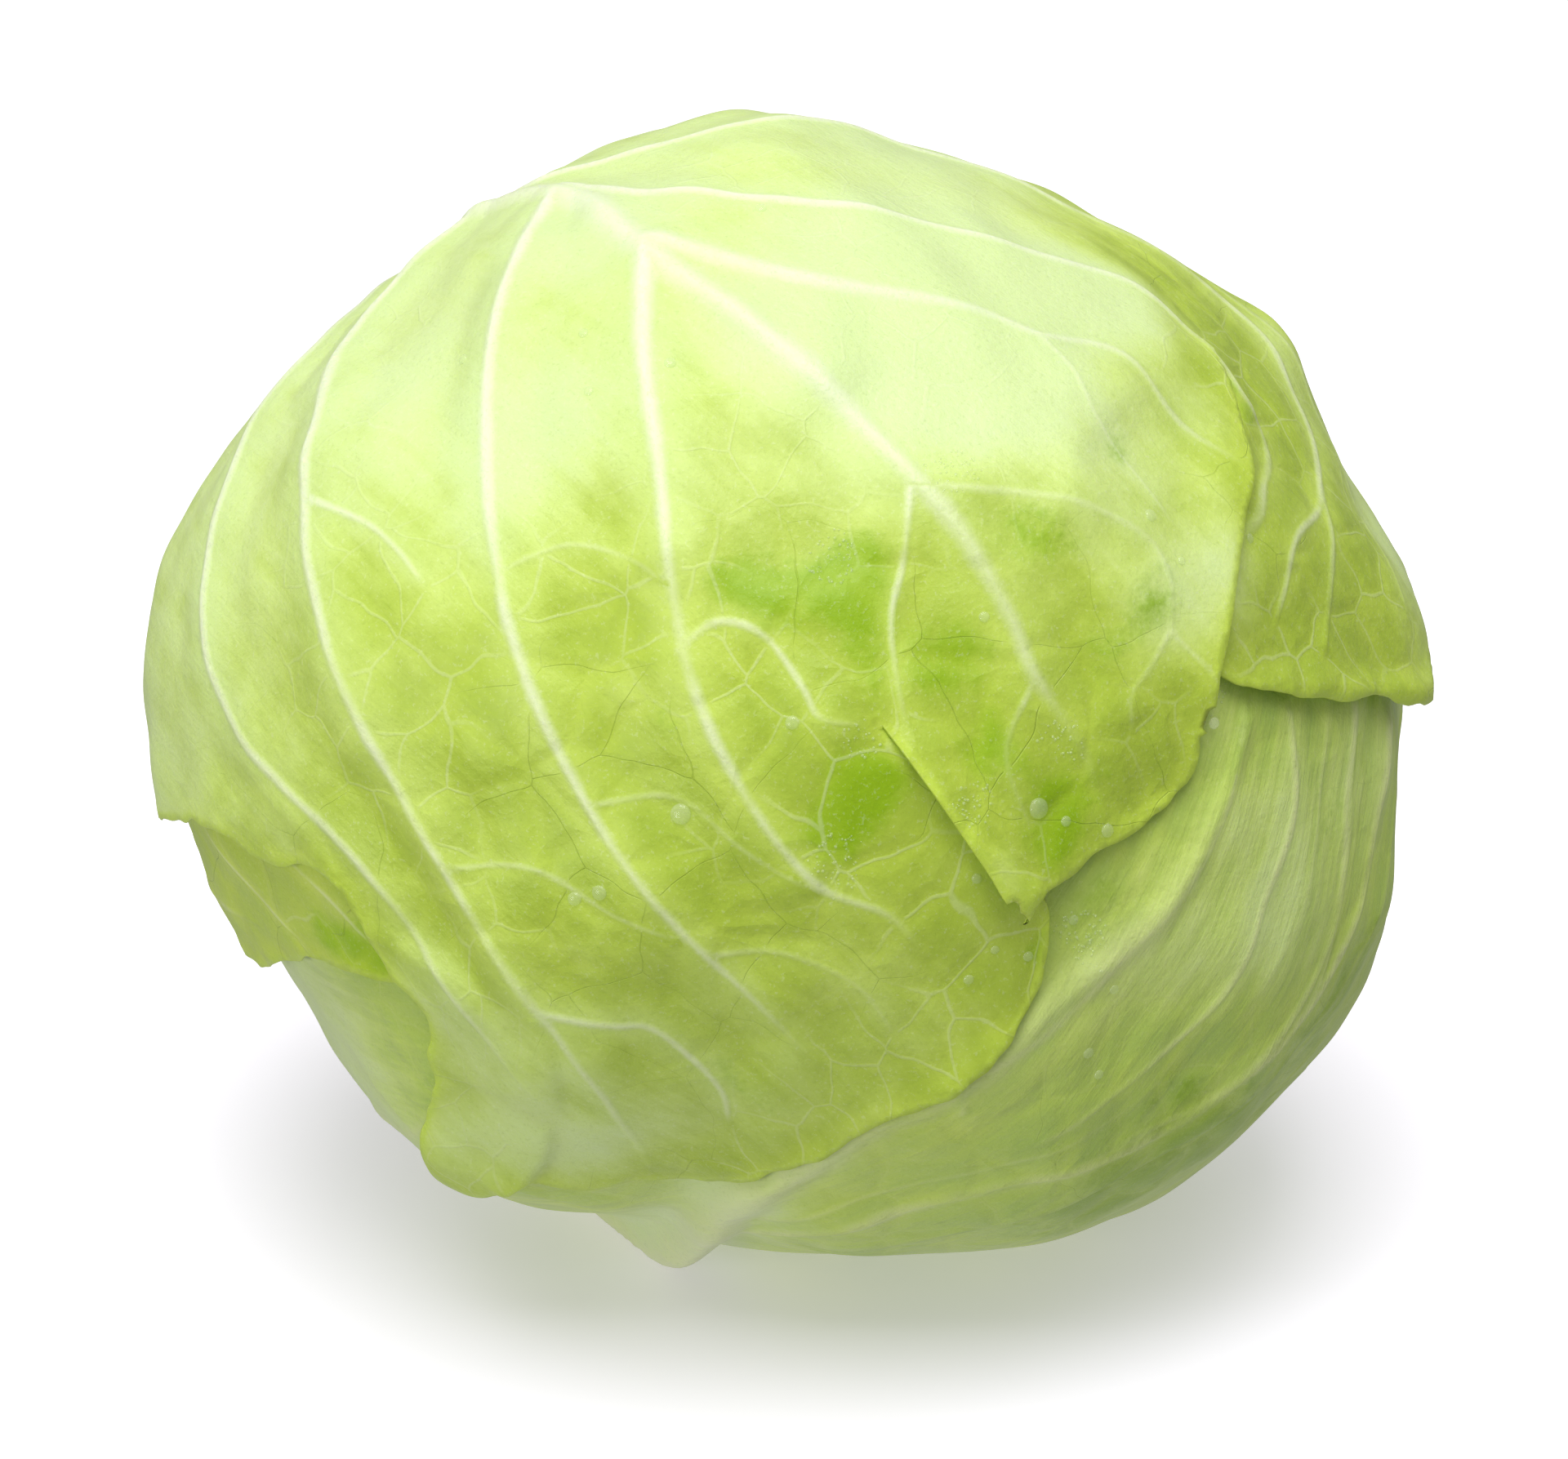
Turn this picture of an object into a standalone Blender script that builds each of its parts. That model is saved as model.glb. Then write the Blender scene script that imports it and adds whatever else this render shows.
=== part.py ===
"""A whole cabbage head lying on its side: a ball of inner leaves, five wrapper leaves and a cut stalk.

Metres, +Z up. The origin is the middle of the small flat spot that the head rests on.
The free edges of the front leaf face -Y, and the cut stalk points away from them, to the back left.

Every leaf is a thin sheet laid over the ones inside it. A leaf is drawn on a round chart of its own:
v runs from the stalk towards the tip, u to the right with the tip up, both in millimetres along the
surface from the middle of the blade. Lengths below are in millimetres, and MM makes them metres.
"""

import math
from dataclasses import dataclass, field

import bmesh
import bpy
import numpy as np
from mathutils import Matrix, Vector
from mathutils.geometry import delaunay_2d_cdt

MM = 0.001
NAME = "cabbage_head"

# The whole head
CENTRE_HEIGHT = 79.0       # middle of the head above the surface it rests on
MEAN_RADIUS = 85.0         # length of one radian along a leaf's chart
LEAN_BACK = 20.0           # degrees that the broad face of the head leans back
FRONT_DEPTH = 84.0         # from the middle to the broad face
BACK_DEPTH = 81.0          # from the middle to the back
REST_SPOT = 17.0           # radius of the flat spot that it rests on
SEAT_START = 0.87          # cosines of the tilt from straight down between which
SEAT_END = 0.98            # the head takes on the round form of its underside
# Outline of the broad face: degrees from +X, turning up, and the distance from the middle
FACE_OUTLINE = [(0, 89.0), (15, 88.3), (30, 85.5), (46, 83.9), (60, 81.0), (75, 79.9), (92, 82.2),
                (120, 80.4), (135, 79.2), (150, 82.8), (160, 85.0), (172, 88.2), (184, 88.2), (197, 85.0),
                (210, 82.4), (225, 84.1), (240, 85.2), (256, 79.2), (264, 78.5), (272, 81.4),
                (285, 84.9), (300, 91.4), (316, 92.0), (331, 94.4), (345, 91.5)]

# The stalk, and how the leaves lie on each other
STALK_AZIMUTH = 128.0      # degrees, where the stalk points
STALK_ELEVATION = 11.0
STALK_RADIUS = 14.4
STALK_HOLE = 16.4          # the leaf bases end this far from the stalk's axis
STALK_STANDS_OUT = 2.5     # the cut face above the outermost leaf
LEAF_THICKNESS = 0.75
LEAF_GAP = 0.45            # clear between a leaf and the one inside it
HEART_CLEARANCE = 0.5      # further clear round the inner ball
FLOOR_BLEND = 2.4          # how softly the stack turns into the flat spot
STACK_ALLOWANCE = 3.6      # the inner ball's surface below the head's surface
COVER_MARGIN = 5.0         # an outer leaf keeps its height this far past an inner leaf's edge
COVER_SLOPE = 14.0         # and then drops over this distance
RIB_FLATTENED = 0.30       # height that the lowest leaf's thick midrib keeps under another leaf

# Waves along the free edges
WAVE_HEIGHT = 0.9
WAVE_REACH = 11.0
WAVE_LENGTH = 23.0

# Mesh
LATTICE_SPACING = 8.6      # between points inside a leaf
EDGE_SPACING = 5.2         # between points along its edge
RIB_SPACING = 8.0          # between points along a rib
HEART_SUBDIVISIONS = 4
STALK_STEPS = 32


@dataclass
class Rib:
    """A raised rib along a path on the chart.

    height and half_width are its values at even steps from its base to its end.
    """
    path: list
    height: tuple
    half_width: tuple
    bold: bool = False


@dataclass
class Leaf:
    """A wrapper leaf.

    bearing is in degrees round the stalk and reach in degrees from the stalk to the middle of the
    blade. The skirts are the edge near the stalk, as degrees off the midrib and millimetres from the
    stalk: base_right goes outwards, base_left comes back. blade is the free edge between them.
    lifts are places that stand off: u, v, height and size.
    """
    name: str
    bearing: float
    reach: float
    base_right: list
    blade: list
    base_left: list
    ribs: list
    colour: tuple
    lifts: list = field(default_factory=list)


INNER_LEAF = Leaf(
    "leaf_inner", 222, 78,
    base_right=[(48, 22), (60, 45), (66, 74)],
    blade=[(68, -16), (62, 14), (46, 38), (20, 51), (-10, 52), (-38, 42), (-58, 18), (-66, -14)],
    base_left=[(-66, 74), (-60, 45), (-48, 22)],
    ribs=[Rib([(0, -98), (1, -50), (2, 0), (1, 40)], (2.2, 0.6), (5.0, 2.2)),
          Rib([(1, -78), (22, -48), (34, -12), (38, 22)], (1.0, 0.5), (3.0, 2.0)),
          Rib([(1, -74), (-24, -44), (-38, -10), (-40, 20)], (1.0, 0.5), (3.0, 2.0))],
    colour=(0.62, 0.76, 0.34))

BACK_LEAF = Leaf(
    "leaf_back", 285, 105,
    base_right=[(58, 24), (72, 45), (78, 70), (78, 100)],
    blade=[(114, -36), (110, 2), (97, 38), (76, 66), (50, 86), (22, 96), (-8, 97), (-38, 90), (-66, 72),
           (-88, 45), (-101, 12), (-104, -22)],
    base_left=[(-66, 116), (-60, 88), (-54, 60), (-48, 38), (-40, 22)],
    ribs=[Rib([(0, -138), (2, -90), (3, -40), (1, 10), (4, 50), (3, 84)], (2.6, 0.5), (6.0, 2.0)),
          Rib([(2, -100), (30, -72), (56, -40), (74, 0), (80, 34)], (1.2, 0.5), (3.2, 2.0)),
          Rib([(2, -92), (-28, -66), (-54, -34), (-72, 6), (-74, 40)], (1.2, 0.5), (3.2, 2.0)),
          Rib([(3, -40), (22, -14), (38, 24), (42, 62)], (1.0, 0.5), (2.8, 1.8)),
          Rib([(2, -26), (-20, 2), (-34, 38), (-34, 70)], (1.0, 0.5), (2.8, 1.8))],
    colour=(0.60, 0.74, 0.36))

LOW_LEAF = Leaf(
    "leaf_low", 150, 140,
    base_right=[(44, 22), (56, 44), (61, 72), (67, 102), (76, 132), (81, 162), (87, 190)],
    blade=[(80, 58), (78, 84), (58, 104), (30, 114), (0, 116), (-28, 108), (-48, 90), (-60, 64), (-62, 38),
           (-66, 12), (-78, -12), (-90, -38), (-94, -66)],
    base_left=[(-66, 104), (-70, 75), (-64, 45), (-50, 22)],
    ribs=[Rib([(0, -190), (5, -150), (15, -112), (21, -82), (19, -58), (9, -40), (-14, -13), (-23, 16),
               (-19, 45), (-10, 68), (-7, 94)],
              (4.5, 4.2, 3.5, 2.8, 5.2, 2.8, 2.0, 1.4, 0.8), (8.5, 8.0, 6.8, 4.4, 2.4), bold=True),
          Rib([(6, -42), (-3, -18), (-4, 4), (1, 24), (14, 38), (22, 54), (26, 70), (23, 96)],
              (1.6, 0.5), (3.4, 2.0)),
          Rib([(13, -118), (-20, -88), (-38, -58), (-52, -34)], (1.4, 0.5), (4.0, 2.2)),
          Rib([(17, -104), (36, -76), (42, -40), (56, 0), (62, 40)], (1.4, 0.5), (3.4, 2.0))],
    colour=(0.58, 0.71, 0.38))

LEFT_LEAF = Leaf(
    "leaf_left", 100, 88,
    base_right=[(38, 22), (38, 45), (35, 68), (28, 90)],
    blade=[(23, -22), (20, -12), (10, 2), (6, 9), (3, 16), (1, 24), (-6, 33), (-18, 38), (-34, 35), (-48, 22),
           (-58, 0), (-62, -28)],
    base_left=[(-62, 74), (-62, 48), (-50, 22)],
    ribs=[Rib([(0, -110), (-3, -70), (-6, -30), (-12, 4), (-15, 26)], (2.6, 0.6), (5.5, 2.0)),
          Rib([(-2, -78), (12, -52), (14, -28), (8, -6)], (1.0, 0.5), (2.8, 1.8))],
    colour=(0.60, 0.76, 0.33),
    lifts=[(18, -16, 1.2, 10)])

FRONT_LEAF = Leaf(
    "leaf_front", 34, 118,
    base_right=[(62, 24), (76, 42), (80, 62), (79, 80), (73, 94)],
    blade=[(108, -62), (102, -51), (96, -43), (93, -34), (91, -25), (85, -17), (82, -8), (86, 4), (90, 14),
           (100, 20), (112, 24), (119, 30), (115, 39), (105, 44), (103, 52), (95, 62), (87, 71), (77, 75),
           (64, 77), (52, 77), (38, 79), (24, 77), (12, 73),
           (13, 66), (14, 55), (13, 44), (11.5, 34), (11.5, 45), (12, 56), (9, 63),
           (-3, 67), (-13, 69), (-20, 67), (-26, 62), (-29, 58),
           (-40, 50.5), (-52, 43), (-60, 38), (-66, 31), (-62, 39.5), (-53, 45), (-42, 52), (-32, 59.5),
           (-36, 66), (-47, 74), (-59, 81), (-70, 86), (-80, 84), (-92, 74), (-101, 62), (-106, 50),
           (-106, 40), (-102, 31), (-103, 22), (-109, 10)],
    base_left=[(-82, 130), (-84, 105), (-84, 78), (-78, 50), (-64, 25)],
    ribs=[Rib([(0, -156), (-6, -118), (-20, -70), (-15, -40), (-15, -15), (-15, 4), (-12, 30), (-8, 43),
               (-7, 54), (-4, 63)], (3.0, 0.5), (7.0, 1.8)),
          Rib([(-15, -38), (-1, -22), (9, -10), (19, 3), (26, 14), (31, 29), (32, 44), (28, 53), (28, 70)],
              (1.4, 0.5), (3.4, 1.8)),
          Rib([(-19, -72), (8, -48), (21, -34), (33, -17), (41, -2), (47, 14), (50, 36), (51, 70)],
              (1.4, 0.5), (3.2, 1.8)),
          Rib([(-14, -92), (19, -84), (34, -64), (47, -46), (56, -27), (62, -12), (67, 4), (72, 24),
               (84, 58)], (1.3, 0.5), (3.2, 1.8)),
          Rib([(-6, -112), (44, -82), (66, -60), (76, -42), (76, -10), (80, 12), (86, 36), (94, 54)],
              (1.2, 0.5), (3.0, 1.8)),
          Rib([(-16, -42), (-26, -19), (-36, -6), (-45, 5), (-53, 15), (-54, 28), (-54, 38)],
              (1.3, 0.5), (3.4, 1.8)),
          Rib([(-22, -72), (-26, -50), (-36, -33), (-49, -18), (-60, -4), (-69, 8), (-71, 20)],
              (1.3, 0.5), (3.0, 1.8)),
          Rib([(-20, -86), (-48, -57), (-68, -48), (-83, -24), (-89, -4), (-95, 12), (-94, 26), (-86, 42),
               (-72, 52), (-50, 69)], (1.3, 0.5), (3.0, 1.8))],
    colour=(0.63, 0.79, 0.32),
    lifts=[(108, -54, 2.0, 15), (117, 32, 1.8, 9), (-76, 86, 3.2, 12), (8, 60, 1.2, 10), (-66, 18, 1.0, 10)])

# From the inside out
LEAVES = [INNER_LEAF, BACK_LEAF, LOW_LEAF, LEFT_LEAF, FRONT_LEAF]

CENTRE = np.array([0.0, 0.0, CENTRE_HEIGHT])


# ---------------------------------------------------------------- directions and charts

def unit(vectors):
    """Scale vectors, one to a row, to length one."""
    vectors = np.asarray(vectors, float)
    return vectors / np.linalg.norm(vectors, axis=-1, keepdims=True)


def stalk_frame():
    """The stalk's direction, and the up and right directions for one who looks at its cut face."""
    azimuth, elevation = math.radians(STALK_AZIMUTH), math.radians(STALK_ELEVATION)
    stalk = np.array([math.cos(elevation) * math.cos(azimuth),
                      math.cos(elevation) * math.sin(azimuth),
                      math.sin(elevation)])
    up = unit(np.array([0.0, 0.0, 1.0]) - stalk * stalk[2])
    return stalk, up, np.cross(up, stalk)


STALK, STALK_UP, STALK_RIGHT = stalk_frame()


def from_stalk(bearing, distance):
    """The direction at a bearing round the stalk and a distance in mm along the surface from it."""
    bearing, angle = math.radians(bearing), distance / MEAN_RADIUS
    across = math.cos(bearing) * STALK_UP + math.sin(bearing) * STALK_RIGHT
    return STALK * math.cos(angle) + across * math.sin(angle)


def chart_axes(leaf):
    """The middle of a leaf's blade, its right (u) and its way to the tip (v), as unit vectors."""
    middle = from_stalk(leaf.bearing, math.radians(leaf.reach) * MEAN_RADIUS)
    tip = unit(middle * (middle @ STALK) - STALK)
    return middle, np.cross(tip, middle), tip


def to_directions(leaf, points):
    """Directions of points given as u, v on a leaf's chart."""
    middle, right, tip = chart_axes(leaf)
    points = np.asarray(points, float)
    length = np.maximum(np.hypot(points[:, 0], points[:, 1]), 1e-9)
    angle = length / MEAN_RADIUS
    sideways = (points[:, :1] * right + points[:, 1:] * tip) / length[:, None]
    return np.cos(angle)[:, None] * middle + np.sin(angle)[:, None] * sideways


def flatten(leaf, directions):
    """Project directions from the point opposite the blade, which keeps circles round."""
    middle, right, tip = chart_axes(leaf)
    scale = 2.0 * MEAN_RADIUS / np.maximum(1.0 + directions @ middle, 1e-6)
    return np.stack([directions @ right * scale, directions @ tip * scale], 1)


def unflatten(leaf, points):
    """The directions that flatten gave points."""
    middle, right, tip = chart_axes(leaf)
    half = np.hypot(points[:, 0], points[:, 1]) / (2.0 * MEAN_RADIUS)
    along = (1.0 - half ** 2) / (1.0 + half ** 2)
    across = (1.0 + along) / (2.0 * MEAN_RADIUS)
    return unit(along[:, None] * middle + (points[:, :1] * right + points[:, 1:] * tip) * across[:, None])


# ---------------------------------------------------------------- curves

def resample(points, spacing):
    """Points at an even spacing along a polyline, with both its ends."""
    steps = np.linalg.norm(np.diff(points, axis=0), axis=1)
    travel = np.concatenate([[0.0], np.cumsum(steps)])
    count = max(2, int(round(travel[-1] / spacing)) + 1)
    places = np.linspace(0.0, travel[-1], count)
    return np.stack([np.interp(places, travel, column) for column in points.T], 1)


def smooth_curve(points, closed, steps=8):
    """A centripetal Catmull-Rom curve through points."""
    points = np.asarray(points, float)
    if closed:
        points = np.concatenate([points[-1:], points, points[:2]])
    else:
        points = np.concatenate([2 * points[:1] - points[1:2], points, 2 * points[-1:] - points[-2:-1]])
    curve = []
    for before, start, end, after in zip(points, points[1:], points[2:], points[3:]):
        knots = np.cumsum([0.0] + [math.sqrt(max(np.linalg.norm(b - a), 1e-6))
                                   for a, b in ((before, start), (start, end), (end, after))])
        for t in np.linspace(knots[1], knots[2], steps, endpoint=False):
            def mix(a, b, low, high):
                return (a * (high - t) + b * (t - low)) / (high - low)
            first = mix(before, start, knots[0], knots[1])
            second = mix(start, end, knots[1], knots[2])
            third = mix(end, after, knots[2], knots[3])
            curve.append(mix(mix(first, second, knots[0], knots[2]),
                             mix(second, third, knots[1], knots[3]), knots[1], knots[2]))
    if not closed:
        curve.append(points[-2])
    return np.array(curve)


def leaf_outline(leaf):
    """The directions along a leaf's edge, anticlockwise from outside, about EDGE_SPACING apart."""
    start, end = leaf.base_left[-1][0], leaf.base_right[0][0]
    arc = [from_stalk(leaf.bearing + turn, STALK_HOLE) for turn in np.linspace(start, end, 9)]
    edge = [from_stalk(leaf.bearing + turn, distance) for turn, distance in leaf.base_right]
    edge += list(to_directions(leaf, leaf.blade))
    edge += [from_stalk(leaf.bearing + turn, distance) for turn, distance in leaf.base_left]
    free = resample(smooth_curve(np.array(edge) * MEAN_RADIUS, closed=False), EDGE_SPACING)
    return unit(np.concatenate([np.array(arc), free / MEAN_RADIUS]))


# ---------------------------------------------------------------- distances on the head

def ease(value):
    """A smooth step from 0 to 1 as value goes from 0 to 1."""
    value = np.clip(value, 0.0, 1.0)
    return value * value * (3.0 - 2.0 * value)


def path_distance(directions, path):
    """Distance in mm of each direction to a path, and how far along it, from 0 to 1, that is."""
    best = np.full(len(directions), np.inf)
    where = np.zeros(len(directions))
    steps = np.linalg.norm(np.diff(path, axis=0), axis=1)
    travel = np.concatenate([[0.0], np.cumsum(steps)]) / steps.sum()
    for start, end, low, high in zip(path, path[1:], travel, travel[1:]):
        along = np.clip((directions - start) @ (end - start) / ((end - start) @ (end - start)), 0.0, 1.0)
        distance = np.linalg.norm(directions - start - along[:, None] * (end - start), axis=1)
        nearer = distance < best
        best[nearer] = distance[nearer]
        where[nearer] = (low + along * (high - low))[nearer]
    return best * MEAN_RADIUS, where


def inside(polygon, points):
    """Whether points lie inside a closed flat polygon."""
    crossed = np.zeros(len(points), bool)
    for (x0, y0), (x1, y1) in zip(polygon, np.roll(polygon, -1, axis=0)):
        spans = (y0 > points[:, 1]) != (y1 > points[:, 1])
        if spans.any():
            crossing = x0 + (points[:, 1] - y0) * (x1 - x0) / (y1 - y0)
            crossed ^= spans & (points[:, 0] < crossing)
    return crossed


OUTLINES = {leaf.name: leaf_outline(leaf) for leaf in LEAVES}
RIB_PATHS = {leaf.name: [to_directions(leaf, smooth_curve(rib.path, closed=False)) for rib in leaf.ribs]
             for leaf in LEAVES}


def edge_distance(leaf, directions):
    """Distance in mm to a leaf's edge, negative on the leaf."""
    outline = OUTLINES[leaf.name]
    distance, _ = path_distance(directions, np.concatenate([outline, outline[:1]]))
    on_leaf = inside(flatten(leaf, outline), flatten(leaf, directions))
    return np.where(on_leaf, -distance, distance)


# ---------------------------------------------------------------- the head's shape

def face_radius(turn):
    """Radius of the broad face's outline at an angle in radians."""
    angles = np.radians([a for a, _ in FACE_OUTLINE])
    radii = np.array([r for _, r in FACE_OUTLINE])
    angles = np.concatenate([angles[-2:] - 2 * math.pi, angles, angles[:3] + 2 * math.pi])
    radii = np.concatenate([radii[-2:], radii, radii[:3]])
    turn = np.mod(turn, 2 * math.pi)
    place = np.clip(np.searchsorted(angles, turn, side="right") - 1, 1, len(angles) - 3)
    span = angles[place + 1] - angles[place]
    along = (turn - angles[place]) / span
    rise_in = (radii[place + 1] - radii[place - 1]) / (angles[place + 1] - angles[place - 1]) * span
    rise_out = (radii[place + 2] - radii[place]) / (angles[place + 2] - angles[place]) * span
    square, cube = along ** 2, along ** 3
    return ((2 * cube - 3 * square + 1) * radii[place] + (cube - 2 * square + along) * rise_in
            + (3 * square - 2 * cube) * radii[place + 1] + (cube - square) * rise_out)


def head_radius(directions):
    """Distance from the middle of the head to its surface."""
    lean = math.radians(LEAN_BACK)
    across = directions[:, 0]
    up = directions @ np.array([0.0, math.sin(lean), math.cos(lean)])
    forward = directions @ np.array([0.0, -math.cos(lean), math.sin(lean)])
    side = np.hypot(across, up)
    depth = np.where(forward > 0.0, FRONT_DEPTH, BACK_DEPTH)
    radius = 1.0 / np.sqrt((side / face_radius(np.arctan2(up, across))) ** 2 + (forward / depth) ** 2)
    seat = ease((-directions[:, 2] - SEAT_START) / (SEAT_END - SEAT_START))
    seat_radius = math.hypot(CENTRE_HEIGHT, REST_SPOT) + STACK_ALLOWANCE - LEAF_THICKNESS - LEAF_GAP
    return radius + (seat_radius - radius) * seat


def floor_radius(directions):
    """Distance from the middle of the head to the surface that it rests on."""
    downwards = np.maximum(-directions[:, 2], 1e-3)
    return CENTRE_HEIGHT / downwards


def cover(distance):
    """How far a leaf holds up the one outside it, at a distance from its edge."""
    return 1.0 - ease((distance - COVER_MARGIN) / COVER_SLOPE)


def lifts(leaf, directions):
    """Height of a leaf's places that stand off."""
    height = np.zeros(len(directions))
    for u, v, rise, size in leaf.lifts:
        away = np.linalg.norm(directions - to_directions(leaf, [(u, v)]), axis=1) * MEAN_RADIUS
        height += rise * np.exp(-(away / size) ** 2)
    return height


def taper(values, along):
    """A value that changes evenly between given ones, at shares of the way from 0 to 1."""
    return np.interp(along, np.linspace(0.0, 1.0, len(values)), values)


def ribs(leaf, directions, bold_only=False):
    """Height of a leaf's ribs."""
    height = np.zeros(len(directions))
    for rib, path in zip(leaf.ribs, RIB_PATHS[leaf.name]):
        if bold_only and not rib.bold:
            continue
        distance, along = path_distance(directions, path)
        half_width, rise = taper(rib.half_width, along), taper(rib.height, along)
        height = np.maximum(height, rise * (1.0 - ease(distance / half_width)))
    return height


def open_share(level, distances, start, width):
    """1 where no outer leaf covers a leaf and 0 where one does, with a slope at their edges."""
    share = np.ones(len(distances[0]))
    for outer in distances[level + 1:]:
        share = np.minimum(share, ease((outer - start) / width))
    return share


def edge_waves(directions, distance):
    """Height of the waves along a free edge, zero further in."""
    phase = directions * MEAN_RADIUS * 2.0 * math.pi / WAVE_LENGTH
    ripple = np.sin(phase[:, 0] + 0.7) * np.sin(phase[:, 1]) + np.sin(phase[:, 2] + 1.9)
    return WAVE_HEIGHT * (0.5 + 0.25 * ripple) * (1.0 - ease(-distance / WAVE_REACH))


def stack_base(directions, distances):
    """Radius that the leaves are stacked on, flattened where the whole stack rests on the surface."""
    stack = sum(cover(distance) for distance in distances) * (LEAF_THICKNESS + LEAF_GAP)
    free, resting = head_radius(directions) - STACK_ALLOWANCE, floor_radius(directions) - stack
    share = np.clip(0.5 + 0.5 * (resting - free) / FLOOR_BLEND, 0.0, 1.0)
    return resting + (free - resting) * share - FLOOR_BLEND * share * (1.0 - share)


def leaf_radii(level, directions):
    """Inner and outer radius of a leaf, which lies on all the leaves inside it."""
    distances = [edge_distance(leaf, directions) for leaf in LEAVES]
    inner = stack_base(directions, distances) + LEAF_GAP
    for below, leaf in enumerate(LEAVES[:level]):
        inner += cover(distances[below]) * (LEAF_THICKNESS + LEAF_GAP) + lifts(leaf, directions)
        inner += ribs(leaf, directions, bold_only=True) * RIB_FLATTENED
    leaf = LEAVES[level]
    free = open_share(level, distances, 0.0, 10.0)
    inner += lifts(leaf, directions) + edge_waves(directions, distances[level]) * free
    raised = ribs(leaf, directions) * open_share(level, distances, -1.0, 7.0)
    raised = np.maximum(raised, ribs(leaf, directions, bold_only=True) * RIB_FLATTENED)
    bold = ribs(leaf, directions, bold_only=True) * open_share(level, distances, -1.0, 11.0)
    raised = np.maximum(raised, bold)
    rest = floor_radius(directions)
    return np.minimum(inner, rest - LEAF_THICKNESS), np.minimum(inner + LEAF_THICKNESS + raised, rest)


# ---------------------------------------------------------------- meshes

def even_directions(spacing):
    """Directions spread evenly over the whole head along a golden spiral."""
    count = int(4.0 * math.pi * MEAN_RADIUS ** 2 / (spacing ** 2 * math.sqrt(3.0) / 2.0))
    index = np.arange(count)
    height = 1.0 - (2.0 * index + 1.0) / count
    turn = index * math.pi * (3.0 - math.sqrt(5.0))
    ring = np.sqrt(1.0 - height ** 2)
    return np.stack([ring * np.cos(turn), ring * np.sin(turn), height], 1)


def rib_rows(leaf, bold_only=False):
    """Points along the crest and both feet of each rib."""
    rows = []
    for rib, path in zip(leaf.ribs, RIB_PATHS[leaf.name]):
        if bold_only and not rib.bold:
            continue
        crest = resample(path * MEAN_RADIUS, RIB_SPACING) / MEAN_RADIUS
        way = np.gradient(crest, axis=0)
        sideways = unit(np.cross(unit(crest), way))
        widths = taper(rib.half_width, np.linspace(0.0, 1.0, len(crest))) / MEAN_RADIUS
        for share in ((-1.0, -0.5, 0.0, 0.5, 1.0) if rib.bold else (-1.0, 0.0, 1.0)):
            rows.append(unit(crest + sideways * (share * widths)[:, None]))
    return np.concatenate(rows) if rows else np.zeros((0, 3))


def apart(points, others, distance):
    """The points that keep a distance in mm from all the others."""
    if not len(others):
        return points
    nearest = np.concatenate([np.linalg.norm(block[:, None] - others[None], axis=2).min(axis=1)
                              for block in np.array_split(points, max(1, len(points) // 200))])
    return points[nearest * MEAN_RADIUS > distance]


def thin_out(points, distance):
    """Drop each point that comes closer than a distance in mm to one kept before it."""
    kept = []
    for point in points:
        if all(np.linalg.norm(point - other) * MEAN_RADIUS > distance for other in kept):
            kept.append(point)
    return np.array(kept)


def leaf_points(level):
    """The points inside a leaf's outline: rows along the ribs, and an even spread between them."""
    leaf = LEAVES[level]
    rows = [rib_rows(leaf)] + [rib_rows(below, bold_only=True) for below in LEAVES[:level]]
    rows = np.concatenate(rows)
    rows = rows[edge_distance(leaf, rows) < -0.45 * EDGE_SPACING]
    rows = thin_out(rows, 1.7)
    spread = even_directions(LATTICE_SPACING)
    spread = spread[edge_distance(leaf, spread) < -0.55 * EDGE_SPACING]
    return np.concatenate([rows, apart(spread, rows, 0.5 * LATTICE_SPACING)])


def new_object(name, mesh, colour, roughness, collection):
    """Put a mesh in the collection as an object with a material of its own."""
    material = bpy.data.materials.new(name)
    material.use_nodes = True
    shader = material.node_tree.nodes["Principled BSDF"]
    shader.inputs["Base Color"].default_value = (*colour, 1.0)
    shader.inputs["Roughness"].default_value = roughness
    shader.inputs["Metallic"].default_value = 0.0
    mesh.materials.append(material)
    item = bpy.data.objects.new(name, mesh)
    collection.objects.link(item)
    return item


def leaf_sheet(level):
    """A leaf's open sheet: its directions and its triangles, anticlockwise from outside."""
    leaf = LEAVES[level]
    outline = OUTLINES[leaf.name]
    flat = flatten(leaf, np.concatenate([outline, leaf_points(level)]))
    rim = [(i, (i + 1) % len(outline)) for i in range(len(outline))]
    points, _, faces, *_ = delaunay_2d_cdt([Vector(p) for p in flat], rim, [], 1, 1e-5)
    return unflatten(leaf, np.array([tuple(p) for p in points])), faces


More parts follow.
